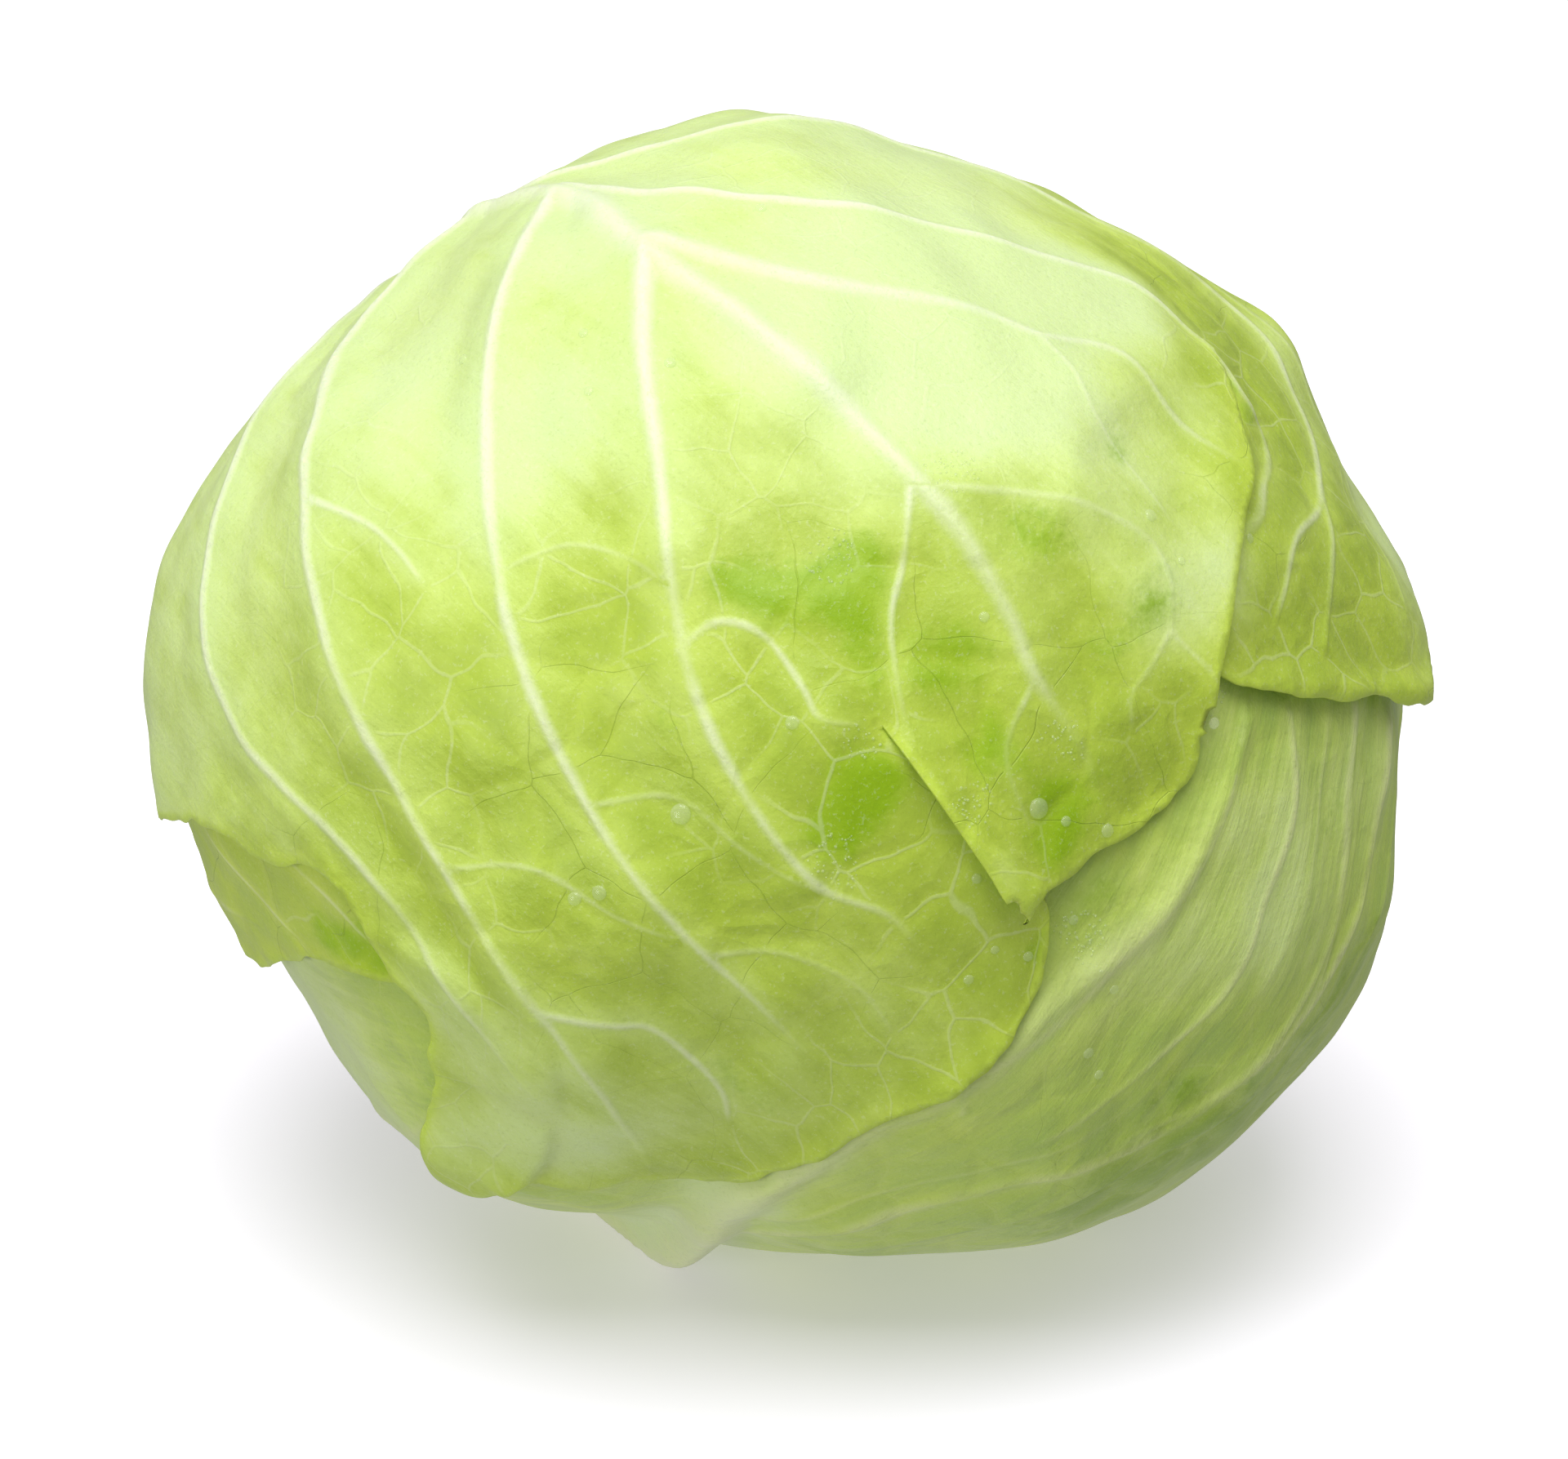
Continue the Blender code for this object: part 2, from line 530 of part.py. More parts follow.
def build_leaf(level, collection):
    """A leaf as a closed sheet, its two faces split into triangles alike."""
    leaf = LEAVES[level]
    directions, faces = leaf_sheet(level)
    inner, outer = leaf_radii(level, directions)
    bm = bmesh.new()
    reach = bm.verts.layers.float.new("outer_radius")
    for direction, low, high in zip(directions, inner, outer):
        vert = bm.verts.new((CENTRE + direction * low) * MM)
        vert[reach] = high * MM
    bm.verts.ensure_lookup_table()
    sheet = [bm.faces.new([bm.verts[i] for i in face]) for face in faces]
    raised = bmesh.ops.extrude_face_region(bm, geom=sheet, use_keep_orig=True)
    middle = Vector(CENTRE * MM)
    for vert in raised["geom"]:
        if isinstance(vert, bmesh.types.BMVert):
            vert.co = middle + (vert.co - middle).normalized() * vert[reach]
    bmesh.ops.triangulate(bm, faces=[face for face in bm.faces if len(face.verts) == 4])
    bmesh.ops.recalc_face_normals(bm, faces=bm.faces)
    mesh = bpy.data.meshes.new(leaf.name)
    bm.to_mesh(mesh)
    bm.free()
    mesh.shade_smooth()
    mesh.set_sharp_from_angle(angle=math.radians(50))
    return new_object(leaf.name, mesh, leaf.colour, 0.45, collection)


def build_heart(collection):
    """The ball of tight inner leaves, which the wrapper leaves lie on."""
    bm = bmesh.new()
    bmesh.ops.create_icosphere(bm, subdivisions=HEART_SUBDIVISIONS, radius=1.0)
    directions = unit([tuple(vert.co) for vert in bm.verts])
    distances = [edge_distance(leaf, directions) for leaf in LEAVES]
    radii = stack_base(directions, distances) - HEART_CLEARANCE
    for vert, direction, radius in zip(bm.verts, directions, radii):
        vert.co = (CENTRE + direction * radius) * MM
    mesh = bpy.data.meshes.new("heart")
    bm.to_mesh(mesh)
    bm.free()
    mesh.shade_smooth()
    return new_object("heart", mesh, (0.72, 0.80, 0.46), 0.5, collection)


def build_stalk(collection):
    """The cut stalk: a turned plug with a slightly dished foot, which the leaf bases close round."""
    around = np.array([from_stalk(turn, STALK_HOLE) for turn in range(0, 360, 15)] + [STALK])
    distances = [edge_distance(leaf, around) for leaf in LEAVES]
    foot = stack_base(around, distances).max() + LEAF_GAP
    tops = [leaf_radii(level, around)[1] for level in range(len(LEAVES))]
    length = np.mean(tops[-1]) + STALK_STANDS_OUT - foot
    shoulder = length - 2.6
    profile = [(0.0, length), (STALK_RADIUS * 0.55, length - 0.3), (STALK_RADIUS - 1.6, length - 0.8),
               (STALK_RADIUS - 0.5, length - 1.6), (STALK_RADIUS, shoulder),
               (STALK_RADIUS - 0.3, 0.5 * shoulder), (STALK_RADIUS, 0.0), (STALK_RADIUS * 0.5, 0.3),
               (0.0, 0.5)]
    mesh = bpy.data.meshes.new("stalk")
    mesh.from_pydata([(radius * MM, 0.0, height * MM) for radius, height in profile],
                     [(i, i + 1) for i in range(len(profile) - 1)], [])
    stalk = new_object("stalk", mesh, (0.86, 0.88, 0.66), 0.55, collection)
    screw = stalk.modifiers.new("turned", "SCREW")
    screw.steps = screw.render_steps = STALK_STEPS
    screw.use_merge_vertices = True
    screw.merge_threshold = 0.00005
    screw.use_smooth_shade = True
    stalk.modifiers.new("triangles", "TRIANGULATE")
    turn = Vector(STALK).to_track_quat("Z", "Y").to_matrix().to_4x4()
    stalk.matrix_world = Matrix.Translation(Vector((CENTRE + STALK * foot) * MM)) @ turn
    return stalk


def main():
    for item in list(bpy.data.objects):
        bpy.data.objects.remove(item)
    collection = bpy.data.collections.new(NAME)
    bpy.context.scene.collection.children.link(collection)
    build_heart(collection)
    for level in range(len(LEAVES)):
        build_leaf(level, collection)
    build_stalk(collection)


main()
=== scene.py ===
"""The looks of a cabbage head: fine leaf sheets with veins, folds and torn slits, a cut stalk and water.

The leaves repeat the solids' own construction at a finer spacing. A leaf is drawn on a round chart of
its own: v runs from the stalk towards the tip, u to the right with the tip up, both in millimetres
along the surface from the middle of the blade. Lengths are in millimetres, and MM makes them metres.
A place on the head is kept as its direction from the middle of the head, a vector of length one.
"""

import logging
import math
from dataclasses import dataclass
from enum import Enum
from typing import Any

import bpy
import numpy as np
from mathutils import Matrix, Vector
from mathutils.geometry import delaunay_2d_cdt
from mathutils.kdtree import KDTree


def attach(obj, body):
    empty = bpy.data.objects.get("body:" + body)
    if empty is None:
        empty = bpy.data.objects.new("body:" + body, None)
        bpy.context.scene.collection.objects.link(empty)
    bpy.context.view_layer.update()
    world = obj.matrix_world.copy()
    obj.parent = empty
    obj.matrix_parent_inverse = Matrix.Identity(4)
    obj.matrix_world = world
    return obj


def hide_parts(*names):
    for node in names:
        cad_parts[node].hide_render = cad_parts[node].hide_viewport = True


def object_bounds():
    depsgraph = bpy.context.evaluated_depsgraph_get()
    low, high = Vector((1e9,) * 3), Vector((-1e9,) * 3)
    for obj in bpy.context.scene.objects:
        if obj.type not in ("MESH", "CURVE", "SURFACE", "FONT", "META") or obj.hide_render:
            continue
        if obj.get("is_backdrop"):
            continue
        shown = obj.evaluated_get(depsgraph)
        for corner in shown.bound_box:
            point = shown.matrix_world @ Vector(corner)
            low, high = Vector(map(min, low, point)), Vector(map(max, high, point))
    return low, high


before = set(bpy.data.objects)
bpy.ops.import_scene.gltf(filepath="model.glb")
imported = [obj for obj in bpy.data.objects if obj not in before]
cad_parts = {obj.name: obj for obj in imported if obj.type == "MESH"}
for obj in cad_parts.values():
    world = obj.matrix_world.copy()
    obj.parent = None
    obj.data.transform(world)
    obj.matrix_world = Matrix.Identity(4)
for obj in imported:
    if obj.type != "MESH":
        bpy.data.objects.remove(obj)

MM = 0.001
Array = np.ndarray
Pair = tuple[float, float]
Triple = tuple[float, float, float]
Colour = Triple
Points = tuple[Pair, ...]
log = logging.getLogger("cabbage")


# ---------------- small geometry helpers

def unit(vectors: Array) -> Array:
    """Scale vectors, one to a row, to length one."""
    vectors = np.asarray(vectors, float)
    return vectors / np.linalg.norm(vectors, axis=-1, keepdims=True)


def ease(value: Array) -> Array:
    """A smooth step from 0 to 1 as value goes from 0 to 1."""
    value = np.clip(value, 0.0, 1.0)
    return value * value * (3.0 - 2.0 * value)


def taper(values: tuple[float, ...], along: Array) -> Array:
    """A value that changes smoothly between given ones.

    Args:
        values: the given values, at even steps of the way.
        along: shares of the way, from 0 to 1.

    Returns:
        The value at each share.
    """
    place = np.asarray(along) * (len(values) - 1)
    low = np.clip(np.floor(place).astype(int), 0, max(0, len(values) - 2))
    high = np.minimum(low + 1, len(values) - 1)
    share = place - low
    share = 0.5 * share + 0.5 * ease(share)
    values = np.asarray(values, float)
    return values[low] + (values[high] - values[low]) * share


def bell(distance: Array, width: float) -> Array:
    """A smooth hump, 1 at distance 0 and nearly 0 past twice the width."""
    return np.exp(-(distance / width) ** 2)


def resample(points: Array, spacing: float) -> Array:
    """Points at an even spacing along a polyline, with both its ends.

    Args:
        points: the polyline, one point to a row.
        spacing: the distance wanted between points.

    Returns:
        The new points.
    """
    steps = np.linalg.norm(np.diff(points, axis=0), axis=1)
    travel = np.concatenate([[0.0], np.cumsum(steps)])
    count = max(2, int(round(travel[-1] / spacing)) + 1)
    places = np.linspace(0.0, travel[-1], count)
    return np.stack([np.interp(places, travel, column) for column in points.T], 1)


def smooth_curve(points: Any, steps: int = 8) -> Array:
    """A centripetal Catmull-Rom curve through points.

    Args:
        points: the points, flat or in space, one to a row.
        steps: how many points the curve has for each given one.

    Returns:
        The curve's points.
    """
    points = np.asarray(points, float)
    points = np.concatenate([2 * points[:1] - points[1:2], points, 2 * points[-1:] - points[-2:-1]])
    curve = []
    for before, start, end, after in zip(points, points[1:], points[2:], points[3:]):
        knots = np.cumsum([0.0] + [math.sqrt(max(np.linalg.norm(b - a), 1e-6))
                                   for a, b in ((before, start), (start, end), (end, after))])
        t = np.linspace(knots[1], knots[2], steps, endpoint=False)[:, None]

        def mix(a: Array, b: Array, low: float, high: float) -> Array:
            """Blend a at low into b at high, at t."""
            return (a * (high - t) + b * (t - low)) / (high - low)

        first = mix(before, start, knots[0], knots[1])
        second = mix(start, end, knots[1], knots[2])
        third = mix(end, after, knots[2], knots[3])
        curve.append(mix(mix(first, second, knots[0], knots[2]),
                         mix(second, third, knots[1], knots[3]), knots[1], knots[2]))
    return np.concatenate(curve + [points[-2:-1]])


def inside(polygon: Array, points: Array) -> Array:
    """Whether points lie inside a flat polygon.

    Args:
        polygon: its corners, one to a row, without the first again at the end.
        points: the points.

    Returns:
        True for each point inside.
    """
    crossed = np.zeros(len(points), bool)
    for (x0, y0), (x1, y1) in zip(polygon, np.roll(polygon, -1, axis=0)):
        spans = (y0 > points[:, 1]) != (y1 > points[:, 1])
        rows = np.flatnonzero(spans)
        crossing = x0 + (points[rows, 1] - y0) * (x1 - x0) / (y1 - y0) if len(rows) else 0.0
        crossed[rows] ^= points[rows, 0] < crossing
    return crossed


def even_directions(spacing: float, radius: float) -> Array:
    """Directions spread evenly over a ball, along a golden spiral.

    Args:
        spacing: how far apart they are on the ball's surface.
        radius: the ball's radius.

    Returns:
        The directions.
    """
    count = int(4.0 * math.pi * radius ** 2 / (spacing ** 2 * math.sqrt(3.0) / 2.0))
    index = np.arange(count)
    height = 1.0 - (2.0 * index + 1.0) / count
    turn = index * math.pi * (3.0 - math.sqrt(5.0))
    ring = np.sqrt(1.0 - height ** 2)
    return np.stack([ring * np.cos(turn), ring * np.sin(turn), height], 1)


def search_tree(points: Array) -> KDTree:
    """A search tree of points, numbered in order.

    Args:
        points: the points, one to a row.

    Returns:
        The balanced tree.
    """
    tree = KDTree(len(points))
    for index, point in enumerate(points):
        tree.insert(point, index)
    tree.balance()
    return tree


@dataclass
class Ripple:
    """Smooth seeded waves over the head, as a sum of sine waves in many directions."""
    wavelength: float
    seed: int
    count: int = 40
    length_range: Pair = (0.7, 1.5)

    def __post_init__(self) -> None:
        """Draw the waves."""
        draw = np.random.RandomState(self.seed)
        lengths = self.wavelength * draw.uniform(*self.length_range, self.count)
        self.waves = unit(draw.normal(size=(self.count, 3))) * (2.0 * math.pi / lengths)[:, None]
        self.phases = draw.uniform(0.0, 2.0 * math.pi, self.count)

    def at(self, places: Array) -> Array:
        """Height at places in mm, mostly between -1 and 1."""
        total = sum(np.sin(places @ wave + phase) for wave, phase in zip(self.waves, self.phases))
        return total / math.sqrt(self.count)


@dataclass
class Facets:
    """Flat, slightly tilted patches with soft ridges between them, as a stiff leaf buckles.

    size is how wide a patch is, tilt how steep at most, as a slope, and radius that of the ball.
    """
    size: float
    tilt: float
    radius: float
    seed: int
    scatter: float = 0.25
    reach: float = 1.6
    sharpness: float = 6.0
    batch: int = 4000

    def __post_init__(self) -> None:
        """Draw the patches."""
        draw = np.random.RandomState(self.seed)
        centres = even_directions(self.size, self.radius) * self.radius
        self.centres = centres + draw.normal(scale=self.size * self.scatter, size=centres.shape)
        self.slopes = draw.uniform(-self.tilt, self.tilt, centres.shape)

    def at(self, places: Array) -> Array:
        """Mix the patches' planes, the nearest the most.

        Args:
            places: the places, in mm.

        Returns:
            Heights in mm.
        """
        heights = []
        for block in np.array_split(places, max(1, len(places) // self.batch)):
            offsets = block[:, None] - self.centres[None]
            away = np.linalg.norm(offsets, axis=2)
            beyond = away ** 2 - away.min(axis=1, keepdims=True) ** 2
            share = np.exp(-beyond / (self.size * self.reach) ** 2 * self.sharpness)
            planes = np.einsum("ijk,jk->ij", offsets, self.slopes)
            heights.append((share * planes).sum(axis=1) / share.sum(axis=1))
        return np.concatenate(heights)


# ---------------- the head's form

@dataclass(frozen=True)
class Head:
    """The form of the whole head, as the solids have it, with the finer relief that all leaves share.

    face_outline is the outline from the front, as degrees anticlockwise from the right and radii. waves
    are the height, wavelength and seed of each ripple, and facets the size, slope and seed of each set.
    """
    centre_height: float = 79.0
    mean_radius: float = 85.0
    lean_back: float = 20.0
    front_depth: float = 84.0
    back_depth: float = 81.0
    rest_spot: float = 17.0
    seat_start: float = 0.87
    seat_end: float = 0.98
    face_outline: Points = (
        (0, 89.0), (15, 88.3), (30, 85.5), (46, 83.9), (60, 81.0), (75, 79.9), (92, 82.2),
        (120, 80.4), (135, 79.2), (150, 82.8), (160, 85.0), (172, 88.2), (184, 88.2), (197, 85.0),
        (210, 82.4), (225, 84.1), (240, 85.2), (256, 79.2), (264, 78.5), (272, 81.4),
        (285, 84.9), (300, 91.4), (316, 92.0), (331, 94.4), (345, 91.5))
    stalk_azimuth: float = 128.0
    stalk_elevation: float = 11.0
    stalk_hole: float = 16.4
    leaf_thickness: float = 0.75
    leaf_gap: float = 0.45
    floor_blend: float = 2.4
    stack_allowance: float = 3.6
    cover_margin: float = 5.0
    cover_slope: float = 14.0
    waves: tuple[tuple[float, float, int], ...] = ((0.42, 46.0, 3), (0.20, 13.0, 8))
    facets: tuple[tuple[float, float, int], ...] = ((21.0, 0.085, 5), (9.5, 0.07, 6))
    relief_middle: float = 0.35
    calm_start: float = 0.78
    calm_width: float = 0.14

    @property
    def centre(self) -> Array:
        """The middle of the head, in mm."""
        return np.array([0.0, 0.0, self.centre_height])

    @property
    def stalk_axes(self) -> tuple[Array, Array, Array]:
        """The stalk's direction, and up and right for one who looks at its cut face."""
        azimuth, elevation = math.radians(self.stalk_azimuth), math.radians(self.stalk_elevation)
        stalk = np.array([math.cos(elevation) * math.cos(azimuth),
                          math.cos(elevation) * math.sin(azimuth), math.sin(elevation)])
        up = unit(np.array([0.0, 0.0, 1.0]) - stalk * stalk[2])
        return stalk, up, np.cross(up, stalk)

    def from_stalk(self, bearing: float, distance: float) -> Array:
        """The direction of a place near the stalk.

        Args:
            bearing: its bearing round the stalk, in degrees.
            distance: how far from the stalk's axis it is along the surface, in mm.

        Returns:
            The direction.
        """
        stalk, up, right = self.stalk_axes
        bearing, angle = math.radians(bearing), distance / self.mean_radius
        across = math.cos(bearing) * up + math.sin(bearing) * right
        return stalk * math.cos(angle) + across * math.sin(angle)

    def face_radius(self, turn: Array) -> Array:
        """Radius of the outline from the front, on a smooth curve through its points.

        Args:
            turn: angles in radians.

        Returns:
            The radius at each angle, in mm.
        """
        angles = np.radians([a for a, _ in self.face_outline])
        radii = np.array([r for _, r in self.face_outline])
        angles = np.concatenate([angles[-2:] - 2 * math.pi, angles, angles[:3] + 2 * math.pi])
        radii = np.concatenate([radii[-2:], radii, radii[:3]])
        turn = np.mod(turn, 2 * math.pi)
        place = np.clip(np.searchsorted(angles, turn, side="right") - 1, 1, len(angles) - 3)
        span = angles[place + 1] - angles[place]
        along = (turn - angles[place]) / span
        rise_in = (radii[place + 1] - radii[place - 1]) / (angles[place + 1] - angles[place - 1]) * span
        rise_out = (radii[place + 2] - radii[place]) / (angles[place + 2] - angles[place]) * span
        square, cube = along ** 2, along ** 3
        return ((2 * cube - 3 * square + 1) * radii[place] + (cube - 2 * square + along) * rise_in
                + (3 * square - 2 * cube) * radii[place + 1] + (cube - square) * rise_out)

    def surface_radius(self, directions: Array) -> Array:
        """Distance from the middle of the head to its smooth surface, with its seat at the rest spot.

        Args:
            directions: the places.

        Returns:
            The distances in mm.
        """
        lean = math.radians(self.lean_back)
        across = directions[:, 0]
        up = directions @ np.array([0.0, math.sin(lean), math.cos(lean)])
        forward = directions @ np.array([0.0, -math.cos(lean), math.sin(lean)])
        side = np.hypot(across, up)
        depth = np.where(forward > 0.0, self.front_depth, self.back_depth)
        face = self.face_radius(np.arctan2(up, across))
        radius = 1.0 / np.sqrt((side / face) ** 2 + (forward / depth) ** 2)
        seat = ease((-directions[:, 2] - self.seat_start) / (self.seat_end - self.seat_start))
        seat_radius = (math.hypot(self.centre_height, self.rest_spot) + self.stack_allowance
                       - self.leaf_thickness - self.leaf_gap)
        return radius + (seat_radius - radius) * seat

    def floor_radius(self, directions: Array) -> Array:
        """Distance from the middle of the head to the surface that it rests on."""
        return self.centre_height / np.maximum(-directions[:, 2], 1e-3)

    def relief(self, directions: Array) -> Array:
        """Height of the gentle waves and flats that go through all the leaves, none at the rest spot.

        Args:
            directions: the places.

        Returns:
            The heights in mm.
        """
        places = directions * self.mean_radius
        free = 1.0 - ease((-directions[:, 2] - self.calm_start) / self.calm_width)
        parts = [rise * Ripple(wavelength, seed).at(places) for rise, wavelength, seed in self.waves]
        parts += [Facets(size, tilt, self.mean_radius, seed).at(places) for size, tilt, seed in self.facets]
        return (sum(parts) - self.relief_middle) * free

    def cover(self, distance: Array) -> Array:
        """How far a leaf holds up the one outside it, at a distance from its edge."""
        return 1.0 - ease((distance - self.cover_margin) / self.cover_slope)


HEAD = Head()


@dataclass(frozen=True)
class Chart:
    """A leaf's round chart: its bearing round the stalk and its reach from it, in degrees."""
    bearing: float
    reach: float

    @property
    def axes(self) -> tuple[Array, Array, Array]:
        """The middle of the blade, its right (u) and its way to the tip (v)."""
        stalk = HEAD.stalk_axes[0]
        middle = HEAD.from_stalk(self.bearing, math.radians(self.reach) * HEAD.mean_radius)
        tip = unit(middle * (middle @ stalk) - stalk)
        return middle, np.cross(tip, middle), tip

    def directions(self, points: Any) -> Array:
        """Take points off the chart.

        Args:
            points: their u and v, one point to a row.

        Returns:
            Their directions.
        """
        middle, right, tip = self.axes
        points = np.asarray(points, float).reshape(-1, 2)
        length = np.maximum(np.hypot(points[:, 0], points[:, 1]), 1e-9)
        sideways = (points[:, :1] * right + points[:, 1:] * tip) / length[:, None]
        angle = (length / HEAD.mean_radius)[:, None]
        return np.cos(angle) * middle + np.sin(angle) * sideways

    def points(self, directions: Array) -> Array:
        """Put directions on the chart.

        Args:
            directions: the places.

        Returns:
            Their u and v.
        """
        middle, right, tip = self.axes
        angle = np.arccos(np.clip(directions @ middle, -1.0, 1.0))
        flat = np.stack([directions @ right, directions @ tip], 1)
        size = np.maximum(np.linalg.norm(flat, axis=1), 1e-9)
        return flat * (angle * HEAD.mean_radius / size)[:, None]

    def flatten(self, directions: Array) -> Array:
        """Project directions from the point opposite the blade, which keeps circles round.

        Args:
            directions: the places.

        Returns:
            Flat points.
        """
        middle, right, tip = self.axes
        scale = 2.0 * HEAD.mean_radius / np.maximum(1.0 + directions @ middle, 1e-6)
        return np.stack([directions @ right * scale, directions @ tip * scale], 1)

    def unflatten(self, points: Array) -> Array:
        """Undo flatten.

        Args:
            points: what flatten gives.

        Returns:
            The directions.
        """
        middle, right, tip = self.axes
        half = np.hypot(points[:, 0], points[:, 1]) / (2.0 * HEAD.mean_radius)
        along = (1.0 - half ** 2) / (1.0 + half ** 2)
        across = (1.0 + along) / (2.0 * HEAD.mean_radius)
        return unit(along[:, None] * middle + (points[:, :1] * right + points[:, 1:] * tip) * across[:, None])


@dataclass
class HeadPath:
    """A path over the head, given as directions, that distances up to the reach are measured from."""
    path: Array
    reach: float = 30.0
    batch: int = 8

    def __post_init__(self) -> None:
        """Measure the path."""
        steps = np.linalg.norm(np.diff(self.path, axis=0), axis=1)
        self.travel = np.concatenate([[0.0], np.cumsum(steps)]) / steps.sum()

    def near(self, directions: Array) -> tuple[Array, Array, Array]:
        """How places lie to the path.

        Args:
            directions: the places.

        Returns:
            Distance in mm, no more than the reach; share of the way along; and 1 on the path's left
            from outside or -1 on its right.
        """
        best = np.full(len(directions), self.reach / HEAD.mean_radius)
        where, side = np.zeros(len(directions)), np.ones(len(directions))
        for first in range(0, len(self.path) - 1, self.batch):
            piece = self.path[first:first + self.batch + 1]
            middle = piece.mean(axis=0)
            extent = np.linalg.norm(piece - middle, axis=1).max() + self.reach / HEAD.mean_radius
            rows = np.flatnonzero(np.linalg.norm(directions - middle, axis=1) < extent)
            close = directions[rows]
            for index in range(len(piece) - 1):
                start, way = piece[index], piece[index + 1] - piece[index]
                along = np.clip((close - start) @ way / (way @ way), 0.0, 1.0)
                offset = close - start - along[:, None] * way
                distance = np.linalg.norm(offset, axis=1)
                better = distance < best[rows]
                chosen = rows[better]
                low, high = self.travel[first + index], self.travel[first + index + 1]
                best[chosen] = distance[better]
                where[chosen] = low + along[better] * (high - low)
                side[chosen] = np.where(offset[better] @ np.cross(start, way) >= 0.0, 1.0, -1.0)
        return best * HEAD.mean_radius, where, side


# ---------------- what a leaf carries

class Tone(Enum):
    """How strongly a vein's colour stands out, from its base to its end."""
    BRIGHT = (1.0, 0.85, 0.72, 0.6, 0.42)
    PALE = (0.7, 0.55, 0.35)
    FAINT = (0.30, 0.24, 0.15)
    BROAD = (0.75, 0.85, 0.95, 0.6, 0.45)


@dataclass(frozen=True)
class Vein:
    """A raised vein along a path on the chart.

    height and half_width are at even steps from its base to its end. ridge is the height of the
    broad soft ridge round it. A bold vein presses through the leaves over it, as in the solids, and
    stands out in full, where the others are slimmer and lower.
    """
    path: Points
    height: tuple[float, ...] = (0.45, 0.2)
    half_width: tuple[float, ...] = (1.5, 0.9)
    ridge: float = 0.35
    tone: Tone = Tone.PALE
    bold: bool = False
    slimmer: float = 0.72
    lower: float = 0.55

    def widths(self, along: Array) -> Array:
        """Half width of what stands out, in mm, at shares of the way along."""
        return taper(self.half_width, along) * (1.0 if self.bold else self.slimmer)

    def rises(self, along: Array) -> Array:
        """Height of the crest, in mm, at shares of the way along."""
        return taper(self.height, along) * (1.0 if self.bold else self.lower)


def veins_alike(*paths: Points, **kind: Any) -> tuple[Vein, ...]:
    """Veins along several paths, with the same other fields."""
    return tuple(Vein(path, **kind) for path in paths)


@dataclass(frozen=True)
class Fold:
    """A soft step along a path: the leaf stands up on one side and drops away sharply on the other.

    side is 1 where the path's left, seen from outside, stands up, and -1 where its right does. width
    and drop are how wide the two sides are, in mm.
    """
    path: Points
    height: tuple[float, ...]
    width: float
    side: int = 1
    drop: float = 1.1


@dataclass(frozen=True)
class Slit:
    """A tear from its inner end to the free edge, with one side tucked under the other.

    over is 1 where the path's left lies on top and -1 where its right does. tuck is how far the other
    side slides under, spread how wide a strip slides with it, and lift how high the top edge stands.
    """
    path: Points
    tuck: float
    lift: tuple[float, ...]
    over: int
    spread: float = 7.0


@dataclass(frozen=True)
class Spot:
    """A round place on the chart with a size in mm and an amount, such as a height or a share."""
    u: float
    v: float
    size: float
    amount: float


def spots(*rows: tuple[float, float, float, float]) -> tuple[Spot, ...]:
    """Spots from rows of u, v, size and amount."""
    return tuple(Spot(*row) for row in rows)


@dataclass(frozen=True)
class LeafColours:
    """A leaf's own colours, and how strongly its fine net and its streaks show.

    deep is the colour of the darkest patches, line that of the finest lines and rim that of the edge.
    """
    blade: Colour
    light: Colour
    deep: Colour
    vein: Colour = (0.86, 0.90, 0.58)
    rim: Colour = (0.56, 0.74, 0.08)
    line: Colour = (0.22, 0.35, 0.02)
    network: float = 1.0
    streaks: float = 0.35


@dataclass(frozen=True)
class LeafPlan:
    """Everything that is drawn on one wrapper leaf.

    base_right and base_left are the edge near the stalk, as degrees off the midrib and millimetres from
    the stalk. blade is the free edge between them. lifts are places that stand off. pale_from and
    pale_to are the v between which the leaf goes from its pale base to its full colour. The edge waves
    by wave_height within wave_reach of it, and notch is how deep its notches are.
    """
    name: str
    node: str
    chart: Chart
    base_right: Points
    blade: Points
    base_left: Points
    colours: LeafColours
    veins: tuple[Vein, ...] = ()
    folds: tuple[Fold, ...] = ()
    slits: tuple[Slit, ...] = ()
    lifts: tuple[Spot, ...] = ()
    # Dark spots and pale spots: partly the leaf's own dark green patches and pale places, partly painted
    # shade in creases, pockets and beyond folds and painted light on lit fold tops and on parts in shade.
    deep_and_shaded_spots: tuple[Spot, ...] = ()
    pale_and_lit_spots: tuple[Spot, ...] = ()
    spacing: float = 1.3
    pale_from: float = -100.0
    pale_to: float = -20.0
    wave_height: float = 0.9
    wave_length: float = 23.0
    wave_reach: float = 11.0
    notch: float = 0.45


# ---------------- the five wrapper leaves

INNER_LEAF = LeafPlan(
    "inner_wrapper_leaf", "leaf_inner", Chart(222, 78),
    base_right=((48, 22), (60, 45), (66, 74)),
    blade=((68, -16), (62, 14), (46, 38), (20, 51), (-10, 52), (-38, 42), (-58, 18), (-66, -14)),
    base_left=((-66, 74), (-60, 45), (-48, 22)),
    colours=LeafColours(blade=(0.42, 0.54, 0.10), light=(0.68, 0.78, 0.34), deep=(0.25, 0.40, 0.02)),
    veins=(Vein(((0, -98), (1, -50), (2, 0), (1, 40)), (1.8, 0.5), (3.6, 1.2), 0.3, Tone.BRIGHT),
           Vein(((1, -78), (22, -48), (34, -12), (38, 22))),
           Vein(((1, -74), (-24, -44), (-38, -10), (-40, 20)))),
    spacing=1.6)

